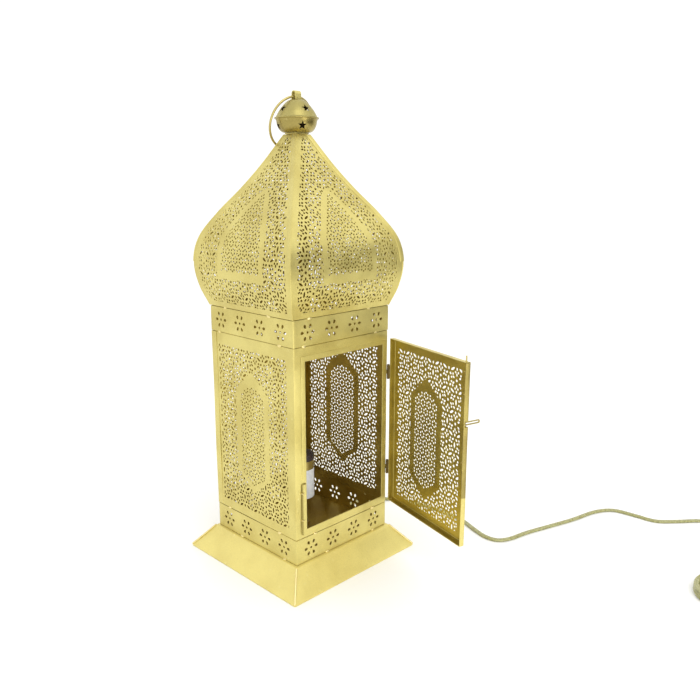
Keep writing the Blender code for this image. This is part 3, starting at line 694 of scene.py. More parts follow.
def divided(loop, spacing, closed=True):
    """The outline with points along its sides, no further apart than spacing."""
    made = []
    ends = loop[1:] + loop[:1] if closed else loop[1:]
    for a, b in zip(loop, ends):
        steps = max(1, math.ceil(math.dist(a, b) / spacing))
        made += [(a[0] + (b[0] - a[0]) * i / steps, a[1] + (b[1] - a[1]) * i / steps) for i in range(steps)]
    return made if closed else [*made, loop[-1]]


def laid_out(outline, holes, creases, spacing):
    """The flat points of a sheet's outline, holes and creases, their edges, and each point's loop."""
    points, edges, labels = [], [], []

    def add(line, label, count):
        first = len(points)
        points.extend(line)
        labels.extend([label] * len(line))
        edges.extend((first + i, first + (i + 1) % len(line)) for i in range(count))

    for which, loop in enumerate([divided(outline, spacing), *holes]):
        add(loop, which, len(loop))
    for crease in creases:
        line = divided(list(crease), spacing, closed=False)
        add(line, -1, len(line) - 1)
    return points, edges, labels


def inner_grid(points, holes, spacing, margin):
    """Points over the whole sheet, clear of its holes and of its other points."""
    taken = np.array(points)
    xs, ys = taken[:, 0], taken[:, 1]
    centres = np.array([np.mean(hole, axis=0) for hole in holes]).reshape(-1, 2)
    reach = np.array([max(math.dist(p, c) for p in hole) for hole, c in zip(holes, centres)])
    found = []
    for x in np.arange(xs.min() + spacing / 2, xs.max(), spacing):
        for y in np.arange(ys.min() + spacing / 2, ys.max(), spacing):
            clear = np.hypot(xs - x, ys - y).min() >= margin
            in_hole = (np.hypot(centres[:, 0] - x, centres[:, 1] - y) < reach + margin / 2).any()
            if clear and not in_hole:
                found.append((float(x), float(y)))
    return found


def punched(points, edges, labels):
    """Anticlockwise triangles between the flat points, with none inside a hole."""
    flat, _, triangles, origins, _, _ = delaunay_2d_cdt(
        [Vector(p) for p in points], edges, [], 1, SAME_POINT
    )
    flat = np.array([tuple(p) for p in flat])
    where = np.array([labels[found[0]] if found else -1 for found in origins])
    triangles = np.array([t[:3] for t in triangles])
    same = (where[triangles] == where[triangles][:, :1]).all(axis=1)
    triangles = triangles[~(same & (where[triangles[:, 0]] > 0))]
    a, b, c = (flat[triangles[:, i]] for i in range(3))
    clockwise = np.cross(b - a, c - a) < 0
    triangles[clockwise] = triangles[clockwise][:, ::-1]
    return flat, triangles


def sheet_mesh(name, outline, holes, place, creases=(), spacing=WIDE_SPACING):
    """A sheet with real holes. It is laid out flat, and place gives both faces' points in space.
    Creases are lines that the sheet bends along. The inner face takes slot 1."""
    points, edges, labels = laid_out(outline, holes, creases, spacing)
    grid = inner_grid(points, holes, spacing, GRID_MARGIN)
    flat, triangles = punched(points + grid, edges, labels + [-1] * len(grid))
    outer, inner = place(flat)
    count = len(flat)
    ends = np.concatenate([triangles[:, [0, 1]], triangles[:, [1, 2]], triangles[:, [2, 0]]])
    whole = {tuple(e) for e in ends}
    rim = [(a, b) for a, b in whole if (b, a) not in whole]
    sides = [(b, a, a + count, b + count) for a, b in rim]
    faces = [*triangles.tolist(), *(triangles[:, ::-1] + count).tolist(), *sides]
    slots = [0] * len(triangles) + [1] * len(triangles) + [0] * len(sides)
    return mesh_of(name, np.concatenate([outer, inner]), faces, SHEET_SHARP_DEG, slots)


# ---------------------------------------------------------------- body


SIDES = ("front", "right", "back", "left")
# Each kind of piece's seed. Those that repeat count on from theirs.
SEEDS = {"body": 3, "back": 4, "door": 7, "dome": 20, "corner": 40, "backing": 50, "solder": 60}
TACK_SEEDS = 100
BEND = 0.0009
# The spans that a bend or a fold is divided into.
CREASE_STEPS = 4
BODY_LOW, BODY_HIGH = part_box("left_jamb")[0].z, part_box("left_jamb")[1].z
OPENING_LOW = Vector((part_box("left_jamb")[1].x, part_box("front_rail_bottom")[1].z))
OPENING_HIGH = Vector((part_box("right_jamb")[0].x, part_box("front_rail_top")[0].z))
HEM_WIDE, HEM_RAISE = 0.0052, 0.0004
CORNER_RAISE = 0.0004
BACKING_INWARD, BACKING_HALF = 0.0007, 0.0022
# The seams' heights, each half a gap past the sheet below or above it.
SEAM_HALF = 0.0004
BODY_SEAM, BAND_SEAM = BODY_HIGH + SEAM_HALF, BODY_LOW - SEAM_HALF
TOP_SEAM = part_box("upper_band_front")[1].z + SEAM_HALF
FOOT_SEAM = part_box("foot_skirt")[1].z + SEAM_HALF
REAR_LEG = 0.0086
DOOR_BEAD, BEAD_SHORT, BEAD_CORNER = 0.00045, 0.0012, 0.0015
LIP_R, LIP_AT, LIP_CORNER = 0.0004, 0.0034, 0.0010
# How far a wrapped sheet and a wrapped strip stop short of where they would meet.
SHEET_END, STRIP_END = 0.0004, 0.0002
# The sheets' waviness, and how far they are set in for it.
WAVE = 0.00016
WAVES, WAVES_PER_METRE, WAVES_START = 5, (20, 75), (0, 6.28)
FIELD_HALF = 0.0581
FIELD_HEIGHT = (0.0665, 0.2506)
LEFT_START = (0.0200, 0.0790)
RIGHT_MIDDLE, RIGHT_START = 0.0031, (-0.0089, 0.0807)
# The cartouche's outer and inner outlines: their middles' heights, then their half sizes.
CARTOUCHE_Z = (0.1580, 0.1555)
CARTOUCHES = ((0.0279, 0.0469, 0.0697), (0.0204, 0.0455, 0.0582))
NET_BELOW = 0.0041


def dents(u, v, seed, deep=WAVE):
    """A slight waviness of hand-worked sheet."""
    draw = random.Random(seed)
    total = np.zeros_like(u)
    for _ in range(WAVES):
        a, b, c = (draw.uniform(*ends) for ends in (WAVES_PER_METRE, WAVES_PER_METRE, WAVES_START))
        total += np.sin(a * u + c) * np.sin(b * v + 2 * c)
    return total * deep / 2


def side_long(half, bend=BEND):
    return 2 * (half - bend)


def corner_step(half, bend=BEND):
    """From one side's start to the next one's, along a strip wrapped round the lantern."""
    return side_long(half, bend) + bend * math.pi / 2


def wrapped(half, seed, bend=BEND, thick=SHEET):
    """Places a strip wrapped round the lantern: left, front, right and back side, in that order."""

    def place(flat):
        u, v = flat[:, 0], flat[:, 1]
        turn = np.floor(u / corner_step(half, bend) + 1e-6)
        t = u - turn * corner_step(half, bend)
        angle = np.clip((t - side_long(half, bend)) / bend, 0, math.pi / 2)
        x = -half + bend + np.minimum(t, side_long(half, bend)) + bend * np.sin(angle)
        y = -half + bend - bend * np.cos(angle)
        quarter = (turn - 1) * math.pi / 2
        c, s = np.cos(quarter), np.sin(quarter)
        nx, ny = np.sin(angle), -np.cos(angle)
        point = np.stack([c * x - s * y, s * x + c * y, v], axis=1)
        normal = np.stack([c * nx - s * ny, s * nx + c * ny, 0 * v], axis=1)
        outer = point + normal * (dents(u, v, seed) - WAVE)[:, None]
        return outer, outer - normal * thick

    return place


def corner_creases(half, low, high, corners, bend=BEND):
    """Upright lines that round the named corners."""
    lines = []
    for corner in corners:
        for i in range(CREASE_STEPS + 1):
            u = corner * corner_step(half, bend) - bend * math.pi / 2 * (1 - i / CREASE_STEPS)
            lines.append([(u, low), (u, high)])
    return lines


def across(side, value, half=BODY_HALF, bend=BEND):
    """Where a place on a side comes on the strip. The value is along the side, as one faces it."""
    return side * corner_step(half, bend) + half - bend + value


def rectangle(low, high):
    return [(low[0], low[1]), (high[0], low[1]), (high[0], high[1]), (low[0], high[1])]


def hexagon(cx, cz, wide, straight, tall):
    """A long upright hexagon: half width, half height of its straight sides and of its tips."""
    return [
        (cx, cz - tall),
        (cx + wide, cz - straight),
        (cx + wide, cz + straight),
        (cx, cz + tall),
        (cx - wide, cz + straight),
        (cx - wide, cz - straight),
    ]


def panel_holes(middle, start):
    """A wall's punched field, with a plain cartouche band and the fine net inside it."""
    low, high = (middle - FIELD_HALF, FIELD_HEIGHT[0]), (middle + FIELD_HALF, FIELD_HEIGHT[1])
    start = (middle + start[0], start[1])
    outer, inner = (hexagon(middle, z, *size) for z, size in zip(CARTOUCHE_Z, CARTOUCHES))
    holes = trimmed(rosette_field(low, high, start), rectangle(low, high), 1)
    holes = trimmed(holes, outer, -1)
    return holes + trimmed(net_field(low, high, (middle, CARTOUCHE_Z[0] - NET_BELOW)), inner, 1)


def make_body():
    """One folded sheet for the left wall, the front and the right wall, and the back wall."""
    left_end, right_end = SHEET_END, corner_step(BODY_HALF) * 2 + side_long(BODY_HALF) - SHEET_END
    opening_left, opening_right = across(1, OPENING_LOW.x), across(1, OPENING_HIGH.x)
    doorway = rectangle((opening_left, OPENING_LOW.y), (opening_right, OPENING_HIGH.y))
    left_holes = panel_holes(across(0, 0), LEFT_START)
    right_holes = panel_holes(across(2, RIGHT_MIDDLE), RIGHT_START)
    holes = [*left_holes, *right_holes, divided(doorway, CLOSE_SPACING)]
    outline = rectangle((left_end, BODY_LOW), (right_end, BODY_HIGH))
    creases = corner_creases(BODY_HALF, BODY_LOW, BODY_HIGH, (1, 2))
    mesh = sheet_mesh("body_shell", outline, holes, wrapped(BODY_HALF, SEEDS["body"]), creases)
    nodes = ("left_wall", "right_wall", "left_jamb", "right_jamb", "front_rail_top", "front_rail_bottom")
    add_sheet("body_shell", mesh, nodes, TWO_FACED)
    reach = BODY_HALF - BEND - SHEET_END
    back = rectangle((across(3, -reach), BODY_LOW), (across(3, reach), BODY_HIGH))
    holes = panel_holes(across(3, 0), LEFT_START)
    mesh = sheet_mesh("back_panel", back, holes, wrapped(BODY_HALF, SEEDS["back"]))
    add_sheet("back_panel", mesh, ("back_wall",), TWO_FACED)


# ---------------------------------------------------------------- bands


FLOWER_AT = 0.0071
FLOWER_DOT = 0.0014
FLOWER_PETAL = (0.0023, 0.00155)
FLOWER_FLARE = 0.28
# Each band's half width, the distance between its flowers, and its dents' seed.
BANDS = {"lower": (BODY_HALF, 0.0326, 11), "upper": (0.07035, 0.0338, 12)}


def flower(cx, cy):
    """Six petals, wider at their outer ends, round a dot."""
    holes = [oval(cx, cy, FLOWER_DOT, FLOWER_DOT, 0, LENS_CORNERS)]
    for turn in range(0, 360, 60):
        petal = []
        for x, y in oval(0, 0, *FLOWER_PETAL, 0, PETAL_CORNERS):
            out = FLOWER_AT + x
            wide = y * (1 + FLOWER_FLARE * x / FLOWER_PETAL[0])
            c, s = math.cos(math.radians(turn)), math.sin(math.radians(turn))
            petal.append((cx + c * out - s * wide, cy + s * out + c * wide))
        holes.append(petal)
    return holes


def make_band(level, half, spacing, seed):
    """A strip wrapped right round the lantern, with its seam at the rear left corner."""
    low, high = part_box(f"{level}_band_front")[0].z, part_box(f"{level}_band_front")[1].z
    holes = []
    for side in range(4):
        for value in (-1.5, -0.5, 0.5, 1.5):
            holes += flower(across(side, value * spacing, half), (low + high) / 2)
    outline = rectangle((STRIP_END, low), (4 * corner_step(half) - STRIP_END, high))
    creases = corner_creases(half, low, high, (1, 2, 3))
    mesh = sheet_mesh(f"{level}_band", outline, holes, wrapped(half, seed), creases, BAND_SPACING)
    nodes = [f"{level}_band_{side}" for side in ("front", "back", "left", "right")]
    add_sheet(f"{level}_band", mesh, nodes, TWO_FACED)


# ---------------------------------------------------------------- dome


DOME_OUTLINE = (
    (0.0707, 0.0, 0.2930),
    (0.0785, 0.0, 0.3160),
    (0.0816, 0.0, 0.3415),
    (0.0765, 0.0, 0.3680),
    (0.0614, 0.0, 0.3941),
    (0.0432, 0.0, 0.4193),
    (0.0269, 0.0, 0.4445),
    (0.0096, 0.0, 0.4753),
)
DOME_SPANS = 16
DOME_LINE = np.array([tuple(p) for p in smooth_line(DOME_OUTLINE, DOME_SPANS)])
DOME_ALONG = np.concatenate([[0], np.cumsum(np.linalg.norm(np.diff(DOME_LINE, axis=0), axis=1))])
DOME_LONG = float(DOME_ALONG[-1])
RIDGE_PLAIN = 0.0080
RIDGE_BEAD, RIDGE_IN, RIDGE_SUNK = 0.0008, 0.0004, 0.0003
LAP_LOW, LAP_WIDE, LAP_RAISE = 0.0500, 0.0056, 0.0005
LAP_SUNK, LAP_BEVEL, LAP_SHARE = 0.0001, 0.0004, 0.7
# The arch: half width against the way up the panel.
ARCH_OUTER = (
    (0.0385, 0.0350),
    (0.0385, 0.0640),
    (0.0357, 0.0819),
    (0.0273, 0.0994),
    (0.0186, 0.1169),
    (0.0105, 0.1302),
)
ARCH_INNER = (
    (0.0320, 0.0424),
    (0.0318, 0.0650),
    (0.0280, 0.0819),
    (0.0196, 0.0994),
    (0.0105, 0.1169),
    (0.0035, 0.1300),
)
ARCH_TIPS = (0.1400, 0.1345)
# The punched field's distances from the panel's lower and upper end, and its least half width.
DOME_FIELD, DOME_FIELD_LEAST = (0.0065, 0.0040), 0.0012
DOME_REACH = 0.0870
DOME_GAP, DOME_WAVE = 0.0001, 0.00012
DOME_STEP = 0.001
FIELD_LEVELS, OUTLINE_LEVELS, LAP_LEVELS, RIDGE_LEVELS = 48, 40, 46, 60
DOME_ROSETTE, DOME_NET = (0.0109, 0.0044), (-0.0012, 0.0474)
DOME_STRETCH, DOME_NET_STRETCH = (0.957, 1.012), (0.965, 0.972)


def dome_half(s):
    return np.interp(s, DOME_ALONG, DOME_LINE[:, 0])


def dome_point(x, s, quarter, lift=0.0):
    """A point on a dome panel, lifted off it: x across it and s up along it."""
    x, s = np.asarray(x, float), np.asarray(s, float)
    half, height = dome_half(s), np.interp(s, DOME_ALONG, DOME_LINE[:, 2])
    ahead, behind = np.minimum(s + DOME_STEP, DOME_LONG), np.maximum(s - DOME_STEP, 0.0)
    dh = dome_half(ahead) - dome_half(behind)
    dz = np.interp(ahead, DOME_ALONG, DOME_LINE[:, 2]) - np.interp(behind, DOME_ALONG, DOME_LINE[:, 2])
    size = np.hypot(dh, dz)
    out, rise = dz / size, -dh / size
    share = (half + lift * out) / half
    x, y, z = x * share, -half - lift * out, height + lift * rise
    c, s = math.cos(quarter * math.pi / 2), math.sin(quarter * math.pi / 2)
    return np.stack([c * x - s * y, s * x + c * y, z], axis=-1)


def dome_place(quarter):
    def place(flat):
        wave = dents(flat[:, 0], flat[:, 1], SEEDS["dome"] + quarter, DOME_WAVE) - DOME_WAVE
        outer = dome_point(flat[:, 0], flat[:, 1], quarter, wave)
        inner = dome_point(flat[:, 0], flat[:, 1], quarter, wave - SHEET)
        return outer, inner

    return place


def mirrored_outline(right, *tip):
    """An anticlockwise outline from the points of its right side, going up."""
    return [*right, *tip, *((-x, y) for x, y in reversed(right))]


def dome_holes():
    levels = np.linspace(DOME_FIELD[0], DOME_LONG - DOME_FIELD[1], FIELD_LEVELS)
    halves = [max(DOME_FIELD_LEAST, float(dome_half(s)) - RIDGE_PLAIN) for s in levels]
    field = mirrored_outline([(half, float(s)) for half, s in zip(halves, levels)])
    box = (-DOME_REACH, 0.0), (DOME_REACH, DOME_LONG)
    outer = mirrored_outline(ARCH_OUTER, (0.0, ARCH_TIPS[0]))
    inner = mirrored_outline(ARCH_INNER, (0.0, ARCH_TIPS[1]))
    holes = stretched(rosette_field(*box, DOME_ROSETTE), (0.0, DOME_ROSETTE[1]), *DOME_STRETCH)
    holes = trimmed(trimmed(holes, field, 1), outer, -1)
    return holes + trimmed(stretched(net_field(*box, DOME_NET), DOME_NET, *DOME_NET_STRETCH), inner, 1)


def make_dome():
    holes = dome_holes()
    levels = np.linspace(0.0, DOME_LONG, OUTLINE_LEVELS)
    outline = mirrored_outline([(float(dome_half(s)) - DOME_GAP, float(s)) for s in levels])
    for quarter, side in enumerate(SIDES):
        name = f"dome_sheet_{side}"
        mesh = sheet_mesh(name, outline, holes, dome_place(quarter))
        add_sheet(name, mesh, (f"dome_panel_{side}",), TWO_FACED)


# ---------------------------------------------------------------- door


PAN_FAR, PAN_NEAR = -0.1365, -0.0016
PAN_FRONT, PAN_DEEP = -0.0067, 0.0060
PAN_LOW, PAN_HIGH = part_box("door_pan")[0].z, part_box("door_pan")[1].z
FOLD = 0.0008
FOLD_ARC = FOLD * math.pi / 2
# The flat middle between the folds, and how far each flange reaches beyond it when laid flat.
FACE_LOW = (PAN_FAR + FOLD, PAN_LOW + FOLD)
FACE_HIGH = (PAN_NEAR - FOLD, PAN_HIGH - FOLD)
FLANGE = FOLD_ARC + PAN_DEEP - FOLD
DOOR_MIDDLE = -0.0648
DOOR_CARTOUCHE_Z = (0.1520, 0.1522)
DOOR_FIELD = ((-0.1240, 0.0690), (-0.0105, 0.2447))
DOOR_ROSETTE = (-0.0628, 0.2310)
DOOR_STRETCH = (1.047, 1.036)
LATCH_AT = (-0.1336, -0.0033)
HANDLE_Z = 0.1911
HANDLE_NOTCH = 0.0032
NOTCH_INWARD, NOTCH_STEP = 0.0014, 0.0003
NOTCH_DEEP = LATCH_AT[1] + NOTCH_INWARD - PAN_FRONT
LATCH_HOLE_R = 0.0012
DOOR_SET_IN = 0.00012
# Above this height the flange on the latch's side of the door takes the bowl's darker gold as painted
# shade.
PAINTED_SHADE_FROM_Z = 0.1120


def flange_at(deep):
    """How far beyond the flat middle a point lies that is this deep inside the door's face."""
    return FOLD_ARC + deep - FOLD


def door_place(flat):
    """Folds the sheet's four flanges back, and stands it on the door's hinge."""
    low, high = np.array(FACE_LOW), np.array(FACE_HIGH)
    on_face = np.clip(flat, low, high)
    beyond = flat - on_face
    reach = np.abs(beyond).sum(axis=1)
    way = np.sign(beyond)
    angle = np.minimum(reach / FOLD, math.pi / 2)
    deep = FOLD * (1 - np.cos(angle)) + np.maximum(reach - FOLD_ARC, 0.0)
    out = FOLD * np.sin(angle)
    point = np.stack(
        [on_face[:, 0] + way[:, 0] * out, PAN_FRONT + deep, on_face[:, 1] + way[:, 1] * out], axis=1
    )
    normal = np.stack([way[:, 0] * np.sin(angle), -np.cos(angle), way[:, 1] * np.sin(angle)], axis=1)
    outer = point + normal * (dents(flat[:, 0], flat[:, 1], SEEDS["door"]) - DOOR_SET_IN)[:, None]
    turn, shift = np.array(DOOR_FRAME.to_3x3()), np.array(DOOR_FRAME.translation)
    return outer @ turn.T + shift, (outer - normal * SHEET) @ turn.T + shift


def door_creases():
    """The folds' lines. The handle's notch interrupts those of the free edge."""
    (x0, z0), (x1, z1) = FACE_LOW, FACE_HIGH
    clear = HANDLE_NOTCH + NOTCH_STEP
    lines = []
    for i in range(CREASE_STEPS + 1):
        reach = FOLD_ARC * i / CREASE_STEPS
        lines.append([(x0, z0 - reach), (x1, z0 - reach)])
        lines.append([(x0, z1 + reach), (x1, z1 + reach)])
        lines.append([(x1 + reach, z0), (x1 + reach, z1)])
        lines.append([(x0 - reach, z0), (x0 - reach, HANDLE_Z - clear)])
        lines.append([(x0 - reach, HANDLE_Z + clear), (x0 - reach, z1)])
    return lines


def door_outline():
    (x0, z0), (x1, z1) = FACE_LOW, FACE_HIGH
    a0, b0, a1, b1 = x0 - FLANGE, z0 - FLANGE, x1 + FLANGE, z1 + FLANGE
    return [
        (x0, b0), (x1, b0), (x1, z0), (a1, z0), (a1, z1), (x1, z1),
        (x1, b1), (x0, b1), (x0, z1), (a0, z1), (a0, z0), (x0, z0),
    ]  # fmt: skip


def door_holes():
    field = rectangle(*DOOR_FIELD)
    outer, inner = (hexagon(DOOR_MIDDLE, z, *size) for z, size in zip(DOOR_CARTOUCHE_Z, CARTOUCHES))
    holes = stretched(rosette_field(*DOOR_FIELD, DOOR_ROSETTE), DOOR_ROSETTE, *DOOR_STRETCH)
    holes = trimmed(trimmed(holes, field, 1), outer, -1)
    net_start = (DOOR_MIDDLE, DOOR_CARTOUCHE_Z[0] - NET_BELOW)
    holes += trimmed(stretched(net_field(*DOOR_FIELD, net_start), net_start, *DOOR_STRETCH), inner, 1)
    notch = rectangle(
        (FACE_LOW[0] - flange_at(NOTCH_DEEP), HANDLE_Z - HANDLE_NOTCH),
        (LATCH_AT[0] + NOTCH_INWARD, HANDLE_Z + HANDLE_NOTCH),
    )
    hole_height = FACE_HIGH[1] + flange_at(LATCH_AT[1] - PAN_FRONT)
    latch_hole = oval(LATCH_AT[0], hole_height, LATCH_HOLE_R, LATCH_HOLE_R)
    return [*holes, divided(notch, NOTCH_STEP), latch_hole]


def add_door_wire(name, line, corner, radius, metal):
    """A rolled edge along the door, from points on the door's own axes."""
    line = [DOOR_FRAME @ Vector(p) for p in rounded(line, corner)]
    add_sheet(name, wire_mesh(name, line, radius, BEAD_SIDES), metals=(metal,), body="door")


def make_door():
    mesh = sheet_mesh("door_sheet", door_outline(), door_holes(), door_place, door_creases())
    to_door = DOOR_FRAME.inverted()
    # Faces of the latch-side flange above that height take slot 2, painted shade.
    for face in mesh.polygons:
        at = to_door @ face.center
        if at.x < PAN_FAR + FOLD / 2 and at.z > PAINTED_SHADE_FROM_Z:
            face.material_index = 2
    # The inner face takes the door's darker gold as painted shade.
    add_sheet("door_sheet", mesh, ("door_pan",), (GOLD, GOLD_DOOR_SHADED, GOLD_BOWL_SHADED), "door")
    edge = PAN_FRONT + PAN_DEEP - DOOR_BEAD
    low, high = PAN_LOW + DOOR_BEAD, PAN_HIGH - DOOR_BEAD
    near, far = PAN_NEAR - DOOR_BEAD, PAN_FAR + BEAD_SHORT
    line = [(far, edge, low), (near, edge, low), (near, edge, high), (far, edge, high)]
    add_door_wire("door_edge_bead", line, BEAD_CORNER, DOOR_BEAD, GOLD_WIRE)
    level = PAN_FRONT + SHEET + LIP_R / 2
    x, z = PAN_NEAR - LIP_AT, PAN_LOW + LIP_AT
    line = [(x, level, PAN_HIGH - LIP_AT), (x, level, z), (PAN_FAR + LIP_AT, level, z)]
    add_door_wire("door_lip", line, LIP_CORNER, LIP_R, GOLD)


# ---------------------------------------------------------------- seams and edges


# The hem's section: how far beyond the opening, and how far out of the wall.
HEM_PROFILE = (
    (HEM_WIDE, 0.0),
    (HEM_WIDE - 0.0002, HEM_RAISE * 0.8),
    (HEM_WIDE - 0.0005, HEM_RAISE),
    (0.0012, HEM_RAISE),
    (0.0004, HEM_RAISE * 1.3),
    (-0.0002, HEM_RAISE * 1.1),
    (-0.0004, HEM_RAISE * 0.3),
    (-0.0002, -0.0006),
    (0.0006, -0.0007),
)


def make_doorway_hem():
    """The doorway's folded edge: a raised strip whose inner edge rolls into the opening."""
    points = []
    low, high = OPENING_LOW, OPENING_HIGH
    for reach, raise_by in HEM_PROFILE:
        y = -BODY_HALF - raise_by
        x0, x1, z0, z1 = low.x - reach, high.x + reach, low.y - reach, high.y + reach
        points += [(x0, y, z0), (x1, y, z0), (x1, y, z1), (x0, y, z1)]
    faces = skin(len(HEM_PROFILE), 4, True, True)
    mesh = mesh_of("doorway_hem", points, faces, SHEET_SHARP_DEG)
    add_sheet("doorway_hem", mesh)


def make_seam_backings():
    """Strips behind the seams between the body, the bands and the dome."""
    half = BODY_HALF - BACKING_INWARD
    for level, height in enumerate((FOOT_SEAM, BAND_SEAM, BODY_SEAM, TOP_SEAM)):
        low, high = height - BACKING_HALF, height + BACKING_HALF
        outline = rectangle((STRIP_END, low), (4 * corner_step(half) - STRIP_END, high))
        creases = corner_creases(half, low, high, (1, 2, 3))
        name = f"seam_backing_{level}"
        mesh = sheet_mesh(name, outline, [], wrapped(half, SEEDS["backing"] + level), creases)
        # Both faces take the inside gold, darker as painted shade.
        add_sheet(name, mesh, metals=(GOLD_INSIDE_SHADED, GOLD_INSIDE_SHADED))


def make_rear_corners():
    """The angle strips that close the two rear corners, one sheet proud of the walls."""
    half = BODY_HALF + CORNER_RAISE
    for side, corner in (("right", 3), ("left", 4)):
        middle = corner * corner_step(half)
        left = middle - BEND * math.pi / 2 - REAR_LEG
        outline = rectangle((left, BODY_LOW), (middle + REAR_LEG, BODY_HIGH))
        creases = corner_creases(half, BODY_LOW, BODY_HIGH, (corner,))
        name = f"rear_corner_strip_{side}"
        place = wrapped(half, SEEDS["corner"] + corner)
        mesh = sheet_mesh(name, outline, [], place, creases, CLOSE_SPACING)
        add_sheet(name, mesh, (f"rear_corner_{side}",), TWO_FACED)


def dome_lap(name, quarter):
    """The lap along one ridge, on the panel to its left: a thin strip with a bevelled edge."""
    points = []
    levels = np.linspace(LAP_LOW, DOME_LONG - SHEET, LAP_LEVELS)
    for s in levels:
        half = float(dome_half(s))
        wide = min(LAP_WIDE, half * LAP_SHARE)
        section = [(0.0, -LAP_SUNK), (0.0, LAP_RAISE), (wide - LAP_BEVEL, LAP_RAISE)]
        section += [(wide, LAP_RAISE / 2), (wide, -LAP_SUNK)]
        points += [tuple(dome_point(half - w, s, quarter, lift)) for w, lift in section]
    return mesh_of(name, points, skin(len(levels), len(section)), SHEET_SHARP_DEG)


def make_dome_ridges():
    levels = np.linspace(0.0, DOME_LONG, RIDGE_LEVELS)
    for quarter, side in enumerate(SIDES):
        name = f"dome_lap_{side}"
        add_sheet(name, dome_lap(name, quarter))
        name = f"dome_ridge_{side}"
        line = [dome_point(float(dome_half(s)) - RIDGE_IN, s, quarter, -RIDGE_SUNK) for s in levels]
        add_sheet(name, wire_mesh(name, line, RIDGE_BEAD, BEAD_SIDES))


# Tacks of solder: half sizes along the seam, out of its face and upwards.
TACK = (0.0026, 0.0013, 0.0018)
# On each side, where they stand along it and at which seam's height.
TACKS = (
    (-0.0560, BODY_SEAM),
    (0.0500, BODY_SEAM),
    (-0.0480, TOP_SEAM),
    (0.0380, TOP_SEAM),
    (-0.0430, BAND_SEAM),
    (0.0465, BAND_SEAM),
    (-0.0250, FOOT_SEAM),
    (0.0480, FOOT_SEAM),
)
TACK_STRAY, TACK_SUNK = 0.006, 0.0002
TACK_GROWN, TACK_UNEVEN, TACK_WAVES = (0.75, 1.15), 0.05, (1.5, 3.5)


def tack_mesh(at, facing_deg, size, seed):
    """An uneven drop of solder on an upright face that looks that way."""
    bm = bmesh.new()
    bmesh.ops.create_icosphere(bm, subdivisions=3, radius=1.0)
    draw = random.Random(seed)
    ranges = (TACK_WAVES, TACK_WAVES, WAVES_START)
    waves = [[draw.uniform(*ends) for ends in ranges] for _ in range(4)]
    for vert in bm.verts:
        x, y, z = vert.co
        vert.co *= 1 + TACK_UNEVEN * sum(math.sin(a * x + b * z + c) for a, b, c in waves)
        vert.co.x *= size[0]
        vert.co.y *= size[1]
        vert.co.z *= size[2]
    bmesh.ops.transform(bm, matrix=Matrix.Rotation(math.radians(facing_deg), 4, "Z"), verts=bm.verts)
    bmesh.ops.translate(bm, vec=Vector(at), verts=bm.verts)
    return bm


def make_tacks():
    """Solder on the seams of each side: under and over the body, under the dome and on the foot."""
    drops = []
    for quarter in range(4):
        turn = quarter * 90.0
        facing = Matrix.Rotation(math.radians(turn), 3, "Z")
        for i, (along, height) in enumerate(TACKS):
            seed = TACK_SEEDS * quarter + i
            draw = random.Random(seed)
            along += draw.uniform(-TACK_STRAY, TACK_STRAY) if quarter else 0.0
            at = facing @ Vector((along, -BODY_HALF + TACK_SUNK, height))
            grown = draw.uniform(*TACK_GROWN)
            drops.append(tack_mesh(at, turn, [side * grown for side in TACK], seed))
    add_sheet("solder_tacks", joined("solder_tacks", drops), metals=(SOLDER,))


# ---------------------------------------------------------------- foot


FOOT_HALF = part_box("foot_skirt")[1].x
FOOT_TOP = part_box("foot_skirt")[1].z
FOOT_TOP_HALF = 0.0730
FOOT_FLANGE_HALF = 0.0620
FOOT_LIP = 0.0020
FOOT_SHEET = 0.0010
FOOT_CORNER = 0.0016
FOOT_EDGE, FOOT_EDGE_TALL = 0.0004, 0.0005
FOOT_ROUND = 0.0003
FOOT_SAG, FOOT_STEPS = 0.00035, 8
FOOT_SHARP_DEG = 30.0
CORNER_SOLDER_R, CORNER_WOBBLE = 0.0011, 0.00012
CORNER_STEPS, CORNER_SIDES = 40, 12
NOTCH_HALF, NOTCH_LOW, NOTCH_TOP, NOTCH_REACH = 0.0050, -0.0010, 0.0070, 0.0200


def rounded_square(half, corner, height, steps=5, spans=16):
    """Points round a square with rounded corners, each side divided evenly."""
    points = []
    for quarter in range(4):
        turn = Matrix.Rotation(quarter * math.pi / 2, 3, "Z")
        straight = half - corner
        side = [(-straight + 2 * straight * i / spans, -half) for i in range(spans)]
        arc = [
            (straight + corner * math.sin(t), -straight - corner * math.cos(t))
            for t in (math.pi / 2 * i / steps for i in range(steps))
        ]
        points += [turn @ Vector((x, y, height)) for x, y in (*side, *arc)]
    return points


def foot_rings():
    """The skirt's section: a short upright lip, a slightly sagging slope and a rolled top edge."""
    low_half = FOOT_HALF - FOOT_EDGE
    section = [(low_half, 0.0), (FOOT_HALF, FOOT_EDGE_TALL), (FOOT_HALF, FOOT_LIP - FOOT_ROUND)]
    for i in range(FOOT_STEPS + 1):
        t = i / FOOT_STEPS
        sag = FOOT_SAG * math.sin(math.pi * t)
        half = low_half + (FOOT_TOP_HALF - low_half) * t
        section.append((half - sag, FOOT_LIP + (FOOT_TOP - FOOT_ROUND - FOOT_LIP) * t - sag))
    section += [
        (FOOT_TOP_HALF - 2 * FOOT_ROUND, FOOT_TOP),
        (FOOT_FLANGE_HALF, FOOT_TOP),
        (FOOT_FLANGE_HALF, FOOT_TOP - FOOT_SHEET),
        (FOOT_TOP_HALF - FOOT_SHEET, FOOT_TOP - FOOT_SHEET),
        (FOOT_HALF - 2 * FOOT_SHEET, FOOT_LIP),
        (FOOT_HALF - FOOT_SHEET - FOOT_EDGE / 2, 0.0),
    ]
    return [rounded_square(half, FOOT_CORNER, height) for half, height in section]


